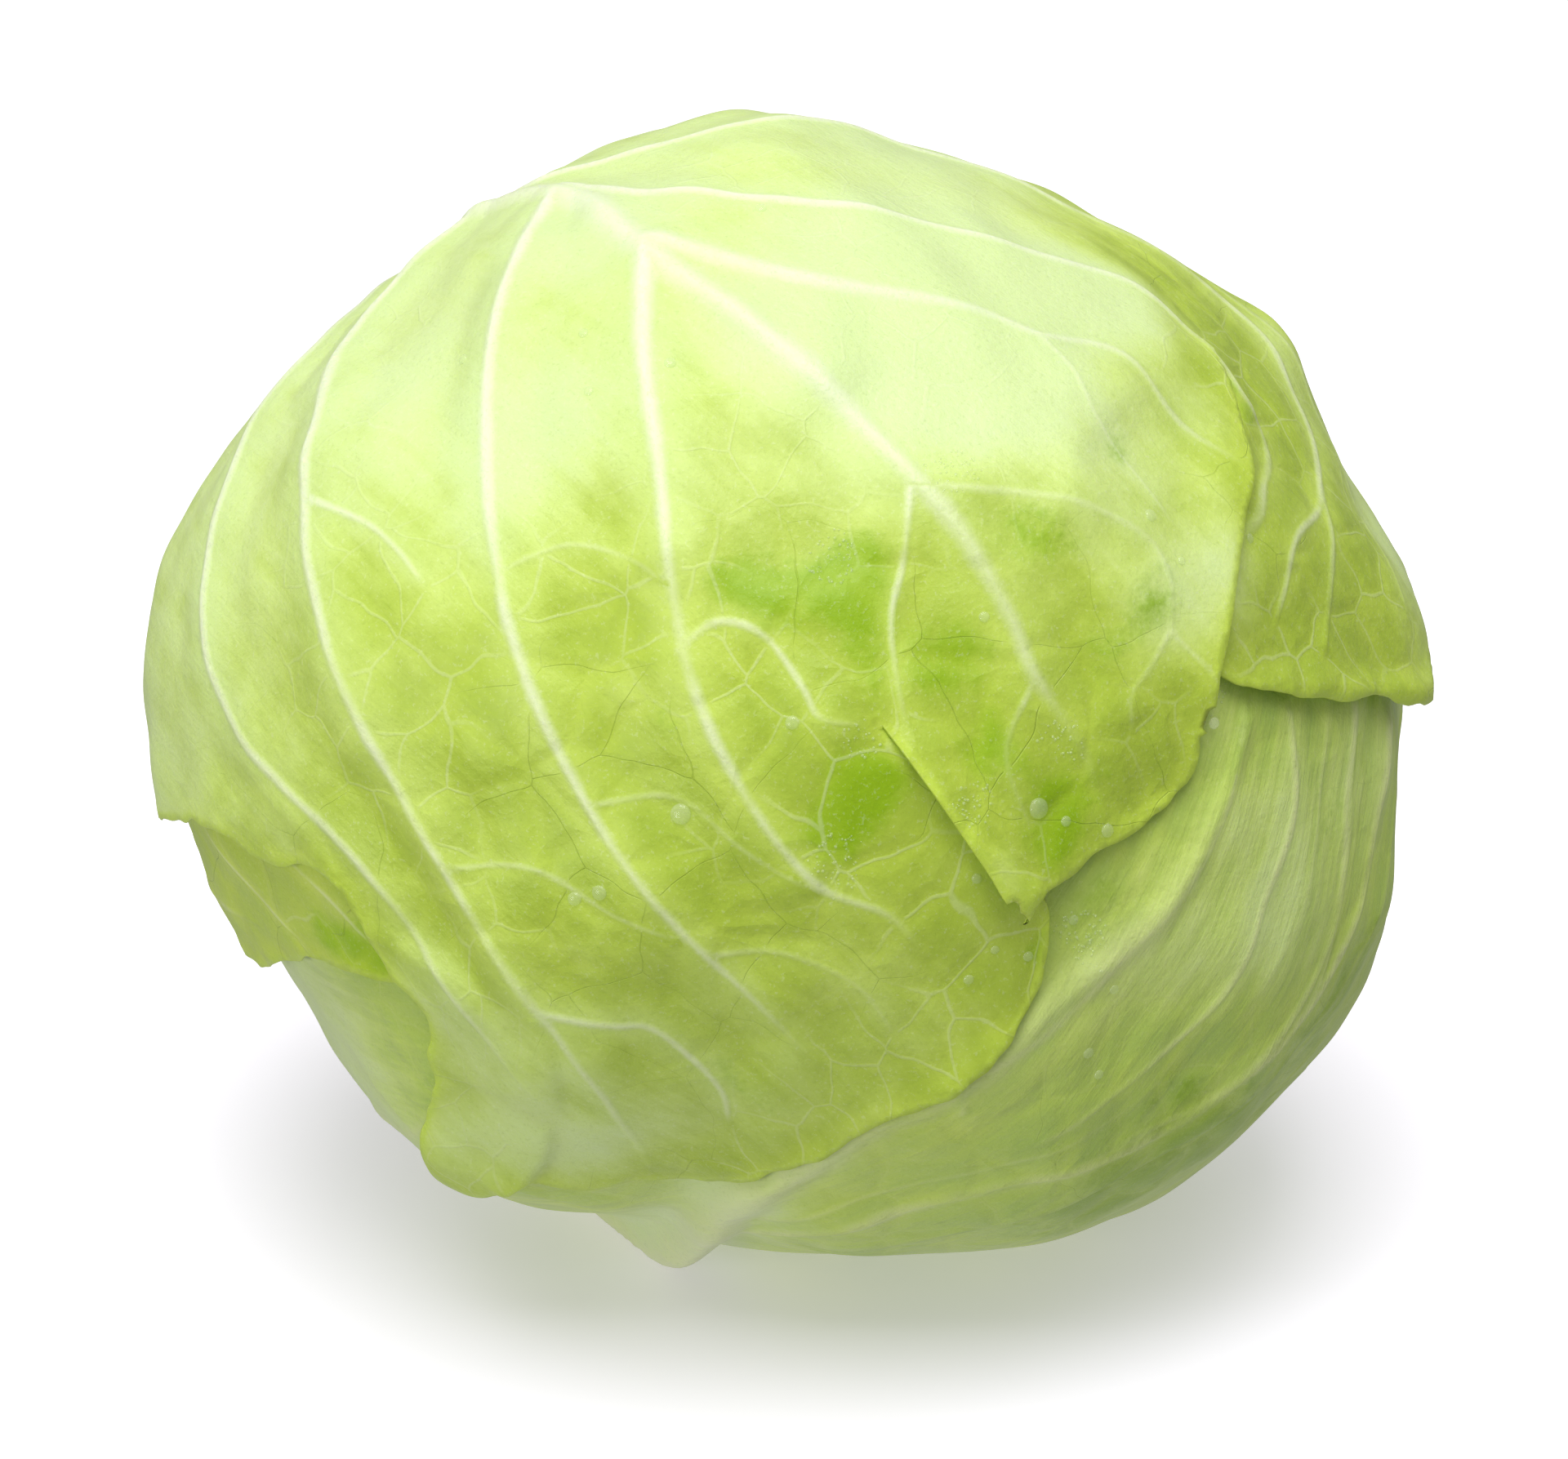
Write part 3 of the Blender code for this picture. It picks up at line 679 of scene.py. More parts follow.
BACK_LEAF = LeafPlan(
    "back_wrapper_leaf", "leaf_back", Chart(285, 105),
    base_right=((58, 24), (72, 45), (78, 70), (78, 100)),
    blade=((114, -36), (110, 2), (97, 38), (76, 66), (50, 86), (22, 96), (-8, 97), (-38, 90), (-66, 72),
           (-88, 45), (-101, 12), (-104, -22)),
    base_left=((-66, 116), (-60, 88), (-54, 60), (-48, 38), (-40, 22)),
    lifts=spots((42, 8, 6, 2.2), (41, 17, 6, 1.8)),
    colours=LeafColours(blade=(0.52, 0.66, 0.18), light=(0.80, 0.90, 0.57), deep=(0.32, 0.48, 0.03),
                        rim=(0.70, 0.82, 0.30)),
    veins=(Vein(((0, -138), (2, -90), (3, -40), (1, 10), (4, 50), (3, 84)), (2.4, 1.2, 0.6, 0.4),
                (4.8, 3.0, 1.8, 1.1), 0.35, Tone.BRIGHT),
           *veins_alike(((2, -100), (30, -72), (56, -40), (74, 0), (80, 34)),
                        ((2, -92), (-28, -66), (-54, -34), (-72, 6), (-74, 40)),
                        height=(0.7, 0.3), half_width=(1.8, 1.0)),
           *veins_alike(((3, -40), (22, -14), (38, 24), (42, 62)), ((2, -26), (-20, 2), (-34, 38), (-34, 70)),
                        height=(0.6, 0.3), half_width=(1.6, 0.9)),
           *veins_alike(((30, -72), (50, -66), (74, -50), (90, -22)),
                        ((-28, -66), (-50, -62), (-74, -42), (-88, -10)),
                        height=(0.4, 0.2), half_width=(1.1, 0.7)),
           *veins_alike(((22, -14), (40, -4), (58, 22), (64, 48)), ((-20, 2), (-40, 8), (-54, 32), (-56, 58)),
                        ((1, 10), (12, 30), (20, 58), (20, 80)), ((2, 22), (-10, 44), (-14, 70)),
                        height=(0.35, 0.2), half_width=(1.0, 0.6), tone=Tone.FAINT)),
    spacing=1.35)

LOW_LEAF = LeafPlan(
    "low_wrapper_leaf", "leaf_low", Chart(150, 140),
    base_right=((44, 22), (56, 44), (61, 72), (67, 102), (76, 132), (81, 162), (87, 190)),
    blade=((80, 58), (78, 84), (58, 104), (30, 114), (0, 116), (-28, 108), (-48, 90), (-60, 64), (-62, 38),
           (-66, 12), (-78, -12), (-90, -38), (-94, -66)),
    base_left=((-66, 104), (-70, 75), (-64, 45), (-50, 22)),
    colours=LeafColours(blade=(0.44, 0.61, 0.12), light=(0.69, 0.84, 0.38), deep=(0.24, 0.42, 0.008),
                        vein=(0.80, 0.85, 0.44), rim=(0.46, 0.68, 0.12), network=0.45, streaks=0.9),
    veins=(Vein(((0, -190), (5, -150), (15, -112), (21, -82), (19, -58), (9, -40), (-14, -13), (-23, 16),
                 (-19, 45), (-10, 68), (-7, 94)),
                (4.5, 4.2, 3.5, 2.8, 5.2, 2.8, 1.4, 0.9, 0.6), (8.5, 8.0, 7.2, 5.0, 2.2), 0.0,
                Tone.BROAD, bold=True),
           Vein(((6, -42), (-3, -18), (-4, 4), (1, 24), (14, 38), (22, 54), (26, 70), (23, 96)),
                (1.1, 0.5), (2.4, 1.2), 0.5),
           Vein(((13, -118), (-20, -88), (-38, -58), (-52, -34)), (1.2, 0.4), (3.2, 1.8), 0.3),
           Vein(((17, -104), (36, -76), (42, -40), (56, 0), (62, 40)), (1.0, 0.4), (2.6, 1.4), 0.3),
           Vein(((-22, -6), (-26, 13), (-22, 31), (-15, 47), (-12, 60), (-8, 72), (-7, 84), (-9, 98)),
                (0.7, 0.6, 0.5, 0.4), (2.2, 1.9, 1.6, 1.3), 0.2, Tone.BRIGHT),
           Vein(((3, 97), (8, 85), (7, 74), (7, 59), (3, 46), (-4, 30)), (0.5, 0.3), (1.3, 0.8), 0.4),
           Vein(((36, 100), (34, 86), (33, 74), (28, 62), (18, 46), (6, 32)), (0.7, 0.4), (1.9, 1.1), 0.5,
                Tone.BRIGHT),
           Vein(((22, 101), (23, 87), (26, 74), (27, 62), (22, 50)), (0.5, 0.3), (1.5, 1.0), 0.4),
           Vein(((14, 98), (15, 84), (15, 72), (12, 58)), (0.3, 0.2), (0.9, 0.6), 0.3, Tone.FAINT),
           Vein(((44, 92), (42, 76), (37, 60), (26, 44)), (0.4, 0.2), (1.1, 0.7), 0.4, Tone.FAINT),
           Vein(((-16, 30), (-30, 44), (-40, 64), (-44, 82)), (0.4, 0.2), (1.2, 0.7), 0.2, Tone.FAINT),
           Vein(((-8, -14), (-9, 6), (-3, 26), (6, 42), (8, 56)), (0.3, 0.15), (1.0, 0.6), 0.2, Tone.FAINT)),
    folds=(Fold(((2, -22), (6, 4), (12, 24), (24, 42), (32, 58), (34, 72)), (0.3, 1.2, 1.6, 0.6), 9.0, 1),
           Fold(((-12, -36), (-26, -36), (-40, -46), (-54, -60)), (0.6, 0.8, 0.3), 5.0, -1)),
    deep_and_shaded_spots=spots((37, 64, 12, 0.5), (20, 22, 12, 0.8), (14, 42, 10, 0.4), (19, 86, 8, 0.3),
                     (36, 40, 14, 0.8), (6, -10, 12, 0.5), (-20, 62, 9, 0.4)),
    lifts=spots((34, 114, 8, 1.4), (45, 73, 7, 1.6)),
    # The spots along the veins and on the midrib's knob are the leaf's own pale places; the two broad ones
    # low on the left are painted light that lifts that part out of shade.
    pale_and_lit_spots=spots((-4, 62, 14, 0.35), (16, 70, 10, 0.35), (4, 84, 14, 0.35), (28, 92, 12, 0.3),
                      (-20, 40, 12, 0.25), (-20, 92, 8, 0.4), (12, -44, 10, 1.0), (-2, -30, 10, 1.0),
                      (-16, -12, 9, 0.8), (-24, 8, 9, 0.5), (-61, -75, 30, 0.3), (-43, -60, 20, 0.3)),
    spacing=1.0, pale_from=-110.0, pale_to=-30.0)

LEFT_LEAF = LeafPlan(
    "left_wrapper_leaf", "leaf_left", Chart(100, 88),
    base_right=((38, 22), (38, 45), (35, 68), (28, 90)),
    blade=((23, -22), (20, -12), (10, 2), (6, 9), (3, 16), (1, 24), (-6, 33), (-18, 38), (-34, 35), (-48, 22),
           (-58, 0), (-62, -28)),
    base_left=((-62, 74), (-62, 48), (-50, 22)),
    # These colours are made lighter than the leaf's own: partly painted light that lifts the shade the front
    # leaf throws on it.
    colours=LeafColours(blade=(0.50, 0.65, 0.08), light=(0.73, 0.86, 0.38), deep=(0.33, 0.55, 0.002)),
    veins=(Vein(((0, -110), (-3, -70), (-6, -30), (-12, 4), (-15, 26)), (2.2, 0.9, 0.4), (4.4, 2.2, 1.1),
                0.3, Tone.BRIGHT),
           Vein(((-2, -78), (12, -52), (14, -28), (8, -6)), (0.6, 0.3), (1.4, 0.9)),
           Vein(((-5, -38), (-2, -8), (2, 2), (4, 10)), (0.4, 0.2), (0.9, 0.6)),
           Vein(((-12, 4), (-9, 14), (-4, 22)), (0.4, 0.2), (0.9, 0.6))),
    lifts=spots((18, -16, 10, 1.2)),
    deep_and_shaded_spots=spots((-3, 21, 6, 0.8), (-1, 13, 5, 0.5)),
    spacing=1.0)

FRONT_LEAF = LeafPlan(
    "front_wrapper_leaf", "leaf_front", Chart(34, 118),
    base_right=((62, 24), (76, 42), (80, 62), (79, 80), (73, 94)),
    blade=((108, -62), (102, -51), (96, -43), (93, -34), (91, -25), (85, -17), (82, -8), (86, 4), (90, 14),
           (100, 20), (112, 24), (119, 30), (115, 39), (105, 44), (103, 52), (95, 62), (87, 71), (77, 75),
           (64, 77), (52, 77), (38, 79), (26, 78), (20.5, 76.5), (17.5, 74.5), (15.8, 70.5),
           # the first slit, in along one lip and out along the other
           (15.2, 66), (14.9, 55), (13.6, 44), (11.7, 34), (12.8, 45), (13.9, 56), (14.6, 65.5),
           # the centre lobe
           (11.5, 64.3), (9, 64.5), (4, 66), (-3, 67), (-13, 69), (-20, 67), (-26, 62), (-29, 58.3),
           # the second slit
           (-40, 50.3), (-52, 43.2), (-60, 38), (-66, 31), (-61.4, 39.2), (-52.6, 44.4), (-40.8, 51.4),
           # the left flap
           (-31, 59.6), (-36, 66), (-47, 74), (-59, 81), (-70, 86), (-80, 84), (-92, 74), (-101, 62),
           (-106, 50), (-106, 40), (-102, 31), (-103, 22), (-109, 10)),
    base_left=((-82, 130), (-84, 105), (-84, 78), (-78, 50), (-64, 25)),
    colours=LeafColours(blade=(0.385, 0.525, 0.048), light=(0.67, 0.83, 0.37), deep=(0.27, 0.46, 0.001),
                        vein=(0.88, 0.93, 0.70)),
    veins=(Vein(((0, -156), (-6, -118), (-20, -70), (-15, -40), (-15, -15), (-15, 4), (-12, 30), (-8, 43),
                 (-7, 54), (-4, 63)), (2.8, 2.0, 1.2, 1.0, 0.6, 0.25), (7.0, 6.4, 4.8, 3.6, 2.4, 1.1), 0.6,
                Tone.BRIGHT),
           Vein(((-15, -40), (-1, -24), (9, -10), (19, 3), (26, 14), (31, 29), (32, 44), (28, 53), (28, 61)),
                (0.8, 0.45, 0.3), (2.6, 1.5, 0.9), 1.0, Tone.BRIGHT),
           Vein(((-19, -70), (8, -48), (21, -34), (33, -17), (41, -2), (47, 14), (50, 36), (51, 64)),
                (0.8, 0.5, 0.3), (2.3, 1.5, 0.9), 1.2, Tone.BRIGHT),
           Vein(((-14, -92), (19, -84), (34, -64), (47, -46), (56, -27), (62, -12), (67, 4), (72, 24),
                 (78, 41), (90, 60)), (0.8, 0.5, 0.3), (2.3, 1.5, 0.9), 1.3, Tone.BRIGHT),
           Vein(((-6, -112), (44, -82), (66, -60), (76, -42), (76, -10), (80, 12), (86, 36)),
                (0.7, 0.5, 0.3), (2.0, 1.4, 0.9), 1.2, Tone.BRIGHT),
           Vein(((-16, -42), (-26, -19), (-36, -6), (-42, 2), (-45, 8), (-52, 14), (-54, 18), (-53, 28),
                 (-55, 41)), (0.9, 0.5, 0.3, 0.2), (3.6, 2.2, 1.2, 0.8), 0.35),
           Vein(((-22, -72), (-26, -50), (-36, -33), (-49, -18), (-60, -4), (-69, 8), (-71, 22), (-69, 31),
                 (-69.5, 37), (-66.5, 42), (-59.5, 45.3), (-54.5, 48.4), (-47.5, 49.6), (-43, 51.5)),
                (0.8, 0.5, 0.55), (2.0, 1.4, 1.1), 0.3, Tone.BRIGHT),
           Vein(((-20, -86), (-48, -57), (-68, -48), (-83, -24), (-89, -4), (-95, 12), (-94, 26), (-86, 42),
                 (-72, 52), (-64, 59), (-50, 68)), (0.7, 0.5, 0.4), (1.9, 1.4, 1.0), 0.35, Tone.BRIGHT),
           Vein(((-80, 47), (-70, 52), (-58, 53), (-45, 60)), (0.4, 0.3), (1.1, 0.8), 0.3),
           Vein(((-99, 10), (-98, 32), (-92, 48), (-82, 62), (-72, 76)), (0.3, 0.2), (1.0, 0.7), 0.2,
                Tone.FAINT),
           Vein(((-13, 14), (-19, 20), (-24, 25), (-29, 31), (-33, 39), (-32, 44), (-28, 49)),
                (0.3, 0.2), (1.2, 0.8), 0.2, Tone.FAINT),
           Vein(((-13, 14), (-5, 21), (1, 25), (6, 31), (10, 37)), (0.3, 0.2), (1.0, 0.7), 0.2),
           Vein(((24, 9), (18, 10), (15, 15), (16, 24), (17, 28), (13, 33)), (0.3, 0.2), (1.1, 0.7), 0.25),
           Vein(((43, -50), (41, -42), (40, -37), (40, -29), (41, -23)), (0.3, 0.2), (1.0, 0.7), 0.2),
           Vein(((73, 28), (68, 37), (65, 41), (65, 49), (67, 58), (72, 64)), (0.35, 0.2), (1.1, 0.8), 0.25),
           Vein(((50, 40), (42, 48), (38, 58), (39, 68)), (0.25, 0.2), (0.9, 0.6), 0.15, Tone.FAINT),
           *veins_alike(((47, 14), (38, 22), (36, 34), (33, 44)), ((33, -17), (24, -12), (20, -4), (19, 3)),
                        ((67, 4), (58, 14), (55, 26), (51, 36)), ((-8, 43), (2, 48), (6, 58)),
                        height=(0.2, 0.15), half_width=(0.8, 0.6), ridge=0.15, tone=Tone.FAINT),
           Vein(((-27, 50), (-21, 52), (-17, 53), (-14, 57)), (0.25, 0.2), (0.9, 0.6), 0.2, Tone.FAINT),
           Vein(((-27, 50), (-28, 57), (-28, 61)), (0.2, 0.15), (0.8, 0.6), 0.15, Tone.FAINT),
           Vein(((-45, 8), (-44, 15), (-41, 22), (-40, 30), (-38, 41)), (0.2, 0.15), (0.8, 0.5), 0.15,
                Tone.FAINT)),
    folds=(Fold(((70, 8), (72, 22), (79, 33), (90, 41)), (0.2, 0.9, 1.1, 0.3), 6.0, -1),
           Fold(((90, 39), (97, 43), (104, 43.5), (112, 42)), (0.4, 1.3, 1.2), 4.0, -1, 0.8),
           Fold(((63, -12), (67, 0), (72, 12)), (0.1, 0.5, 0.1), 6.0, 1),
           Fold(((-56, 16), (-50, 20), (-40, 22), (-33, 23), (-27, 27), (-18, 30), (-12, 34)),
                (0.2, 0.9, 1.3, 1.2, 0.6), 14.0, -1, 4.0),
           Fold(((-10, 11), (-14, 15), (-20, 21), (-26, 27), (-30, 36)), (0.2, 0.8, 0.7, 0.2), 9.0, 1, 4.0),
           Fold(((78, -36), (81, -14), (84, 0), (80, 15), (82, 26), (87, 37), (93, 41)),
                (0.2, 0.7, 1.1, 1.3, 1.1, 0.4), 9.0, -1, 2.6),
           Fold(((34, -38), (41, -28), (48, -12), (53, 4), (57, 22)), (0.2, 0.7, 0.7, 0.2), 10.0, -1, 5.0),
           Fold(((2, -30), (10, -12), (16, 4), (14, 22)), (0.1, 0.5, 0.6, 0.1), 11.0, 1, 5.0),
           Fold(((-72, 18), (-71, 26), (-69, 34), (-66, 41)), (0.1, 0.6, 0.8, 0.2), 3.5, -1, 1.6),
           Fold(((12.4, 40), (12.5, 48), (12.0, 54), (10.8, 60), (9.9, 66)), (0.0, 0.4, 0.8, 1.2), 3.2, -1,
                0.5),
           Fold(((-33, 60), (-38, 65.5), (-48, 72.5), (-59, 79), (-70, 84), (-82, 82)),
                (0.3, 0.9, 1.2, 1.4, 1.0), 2.2, 1, 2.2)),
    slits=(Slit(((11.7, 34), (13.2, 44.5), (14.4, 55.5), (15, 66)), 4.6, (0.4, 1.8, 1.4, 1.9, 2.3), 1),
           Slit(((-66, 31), (-60.5, 38.5), (-52.3, 43.8), (-40.4, 50.9), (-30, 59)), 3.2,
                (0.9, 1.5, 1.4, 1.3, 1.2), -1)),
    lifts=spots((108, -54, 15, 2.0), (117, 32, 9, 1.8), (-76, 86, 12, 3.2), (-66, 18, 10, 1.0),
                (10, 60, 9, 0.6)),
    # Most dark spots are the leaf's own deep green patches; the one at the tongue's tip by the first slit,
    # the two at the inner end of the second slit and those on the tip side of the long fold across the blade
    # are painted shade.
    deep_and_shaded_spots=spots((11, 10, 6, 0.9), (2, 19, 6.5, 1.1), (-1, 34, 6, 0.75), (97, 43, 2.0, 0.35),
                     (103, 43.5, 2.0, 0.35), (-22, 31, 5, 0.4), (-40, 28, 5, 0.3), (-67.2, 34.5, 1.5, 1.6),
                     (-67.6, 30, 1.3, 1.2), (22, 24, 6, 0.3), (8, 30, 6, 0.3), (18, 38, 4.5, 1.0),
                     (26, 40, 5, 0.9), (2, 46, 5, 0.7), (1, 57, 5, 0.7), (-15, 45, 7, 0.4),
                     (-28, 44, 7, 0.35), (62, 60, 8, 0.4), (38, 32, 7, 0.3), (30, 15, 6, 0.35),
                     (-7, 58, 5, 0.4), (15, 72, 3.2, 1.3), (-17, 24, 6, 0.35), (5, 62, 4, 0.6)),
    # Many pale spots are the leaf's own pale places; the broad ones on the stalk side of the long fold across
    # the blade and over the lower blade are painted light where those parts face the lamps, and the small
    # ones by the first slit paint the lit top of its strip.
    pale_and_lit_spots=spots((40, 66, 15, 0.25), (64, 62, 14, 0.25), (84, 52, 13, 0.32), (97, 38, 11, 0.2),
                      (60, 38, 14, 0.28), (86, 26, 14, 0.38), (14, 66, 9, 0.2), (-32, 12, 12, 0.35),
                      (-42, 50, 8, 0.5), (-22, 38, 18, 0.22), (-36, 20, 18, 0.3), (6, 0, 14, 0.2),
                      (-42, 31, 10, 0.3), (-52, -4, 14, 0.8), (-62, 10, 10, 0.7), (-58, 30, 7, 0.3),
                      (-30, 47, 8, 0.25), (-8, 8, 9, 0.25), (24, -30, 14, 0.25), (10, -28, 14, 0.35),
                      (-37, -20, 16, 0.5), (-16, -52, 12, 0.5), (-20, -12, 13, 0.7), (-34, -3, 11, 0.6),
                      (-24, 6, 10, 0.6), (-38, 10, 9, 0.5), (-46, -12, 12, 0.4), (23, -55, 14, 0.3),
                      (-72, -40, 20, 0.5), (-90, 74, 14, 0.5), (13, 58, 3.0, 0.25), (110, -40, 16, 0.3),
                      (-100, 30, 16, 0.35), (-94, 56, 14, 0.35), (108, 28, 9, 0.4), (88, 10, 10, 0.3),
                      (96, 48, 9, 0.3)),
    spacing=0.85, pale_from=-95.0, pale_to=34.0)


# ---------------- node trees

class Socket:
    """A node's output that takes part in Python arithmetic, which adds Math nodes."""

    def __init__(self, board: "Board", socket: bpy.types.NodeSocket) -> None:
        """Wrap an output socket of a node on the board."""
        self.board, self.socket = board, socket

    def _math(self, operation: str, *values: Any) -> "Socket":
        """A Math node on these values."""
        return self.board.add("ShaderNodeMath", {"operation": operation}, dict(enumerate(values)))

    def __add__(self, other: Any) -> "Socket":
        """This plus the other."""
        return self._math("ADD", self, other)

    __radd__ = __add__

    def __sub__(self, other: Any) -> "Socket":
        """This minus the other."""
        return self._math("SUBTRACT", self, other)

    def __rsub__(self, other: Any) -> "Socket":
        """The other minus this."""
        return self._math("SUBTRACT", other, self)

    def __mul__(self, other: Any) -> "Socket":
        """This times the other."""
        return self._math("MULTIPLY", self, other)

    __rmul__ = __mul__

    def step(self, low: float, high: float) -> "Socket":
        """Step smoothly from 0 to 1.

        Args:
            low: where the step starts, which may be the greater of the two.
            high: where it ends.

        Returns:
            The share of the step that this has taken.
        """
        ends = {1: low, 2: high} if low < high else {1: high, 2: low, 3: 1.0, 4: 0.0}
        smooth = {"interpolation_type": "SMOOTHSTEP"}
        return self.board.add("ShaderNodeMapRange", smooth, {"Value": self, **ends})


class Board:
    """A node tree to which any node is added by one method."""

    def __init__(self, tree: bpy.types.NodeTree) -> None:
        """Keep the tree."""
        self.tree = tree

    def add(self, kind: str, settings: dict[str, Any] | None = None, inputs: dict[Any, Any] | None = None,
            output: int | str | None = 0) -> Socket | None:
        """Add a node.

        Args:
            kind: the node's type name.
            settings: its properties, which are set first.
            inputs: values or Sockets by input name or number.
            output: the output to return, if any.

        Returns:
            The chosen output.
        """
        node = self.tree.nodes.new(kind)
        for name, value in (settings or {}).items():
            setattr(node, name, value)
        for name, value in (inputs or {}).items():
            if isinstance(value, Socket):
                self.tree.links.new(value.socket, node.inputs[name])
            else:
                node.inputs[name].default_value = value
        return None if output is None else Socket(self, node.outputs[output])


class NodeBoard(Board):
    """A material's node tree."""
    bump_depth = 0.0008

    def __init__(self, name: str) -> None:
        """Make a material with an empty tree.

        Args:
            name: the material's name.
        """
        self.material = bpy.data.materials.new(name)
        self.material.use_nodes = True
        super().__init__(self.material.node_tree)
        self.tree.nodes.clear()

    def place(self) -> Socket:
        """The place on the object, in metres."""
        return self.add("ShaderNodeTexCoord", output="Object")

    def attribute(self, name: str) -> Socket:
        """A number that the mesh carries at its points."""
        return self.add("ShaderNodeAttribute", {"attribute_name": name}, output="Fac")

    def blend(self, share: Socket, first: Any, second: Any) -> Socket:
        """Mix two colours.

        Args:
            share: how much of the second colour there is.
            first: the first colour.
            second: the second colour.

        Returns:
            The mixed colour.
        """
        first, second = (value if isinstance(value, Socket) else (*value, 1.0) for value in (first, second))
        return self.add("ShaderNodeMix", {"data_type": "RGBA"}, {0: share, 6: first, 7: second}, output=2)

    def noise(self, vector: Socket, scale: float, detail: float, roughness: float = 0.5,
              output: str | int = 0) -> Socket:
        """Smooth noise from 0 to 1 about a half.

        Args:
            vector: where the noise is taken.
            scale: how many waves there are to each unit of the vector.
            detail: how many finer waves are added.
            roughness: how strong the finer ones are.
            output: the output to return.

        Returns:
            The noise.
        """
        return self.add("ShaderNodeTexNoise", {}, {"Vector": vector, "Scale": scale, "Detail": detail,
                                                   "Roughness": roughness}, output)

    def finish(self, inputs: dict[str, Any], bump: float = 0.0, height: Socket | None = None,
               settings: dict[str, Any] | None = None) -> bpy.types.Material:
        """End the tree with a Principled shader.

        Args:
            inputs: the shader's inputs by name.
            bump: how strongly a relief shows, if it has one.
            height: the relief, where 1 is the bump depth.
            settings: the shader's properties.

        Returns:
            The material.
        """
        if height is not None:
            relief = {"Strength": bump, "Distance": self.bump_depth, "Height": height}
            inputs = {**inputs, "Normal": self.add("ShaderNodeBump", {}, relief)}
        shader = self.add("ShaderNodeBsdfPrincipled", settings, inputs)
        self.add("ShaderNodeOutputMaterial", {}, {"Surface": shader}, output=None)
        return self.material


class Scatter(Board):
    """A Geometry Nodes tree that sets balls of water on a carrier mesh, with named inputs for its sizes."""

    def __init__(self, name: str, **kinds: str) -> None:
        """Make a tree that takes a mesh and gives one.

        Args:
            name: the tree's name.
            kinds: the types of its inputs by name.
        """
        super().__init__(bpy.data.node_groups.new(name, "GeometryNodeTree"))
        self.entry = self.tree.nodes.new("NodeGroupInput")
        self.identifiers: dict[str, str] = {}
        self.carrier = self._input("carrier", "Geometry")
        self.tree.interface.new_socket("pieces", in_out="OUTPUT", socket_type="NodeSocketGeometry")
        self.water = self._input("water", "Material")
        self.inputs = {key: self._input(key, kind) for key, kind in kinds.items()}

    def _input(self, name: str, kind: str) -> Socket:
        """Add an input.

        Args:
            name: its name.
            kind: its type, without the words that all socket types start with.

        Returns:
            What it gives.
        """
        socket = self.tree.interface.new_socket(name, in_out="INPUT", socket_type="NodeSocket" + kind)
        self.identifiers[name] = socket.identifier
        return Socket(self, self.entry.outputs[name])

    def stored(self, name: str, kind: str = "FLOAT") -> Socket:
        """A value that the carrier has at its points."""
        return self.add("GeometryNodeInputNamedAttribute", {"data_type": kind}, {"Name": name})

    def close(self, points: Socket, detail: Socket | int, **placing: Socket) -> None:
        """End the tree with a ball on each point, as real geometry.

        Args:
            points: the points.
            detail: how often the ball's faces are divided.
            placing: the scale, and the rotation if it has one.
        """
        ball = self.add("GeometryNodeMeshIcoSphere", {}, {"Radius": 1.0, "Subdivisions": detail})
        pieces = self.add("GeometryNodeInstanceOnPoints", {}, {"Points": points, "Instance": ball, **placing})
        real = self.add("GeometryNodeRealizeInstances", {}, {0: pieces})
        painted = self.add("GeometryNodeSetMaterial", {}, {"Geometry": real, "Material": self.water})
        self.add("NodeGroupOutput", {}, {0: painted}, output=None)

    def run(self, name: str, carrier: bpy.types.Object, **values: Any) -> bpy.types.Object:
        """Turn a carrier into a plain mesh of what the tree makes.

        Args:
            name: the new piece's name.
            carrier: the object to set balls on, which is removed.
            values: the inputs by name.

        Returns:
            The new piece.
        """
        modifier = carrier.modifiers.new("scatter", "NODES")
        modifier.node_group = self.tree
        for key, value in values.items():
            modifier[self.identifiers[key]] = value
        graph = bpy.context.evaluated_depsgraph_get()
        mesh = bpy.data.meshes.new_from_object(carrier.evaluated_get(graph), depsgraph=graph)
        carrier.modifiers.remove(modifier)
        bpy.data.objects.remove(carrier)
        mesh.name = name
        mesh.shade_smooth()
        return into_scene(name, mesh)


# ---------------- finishes

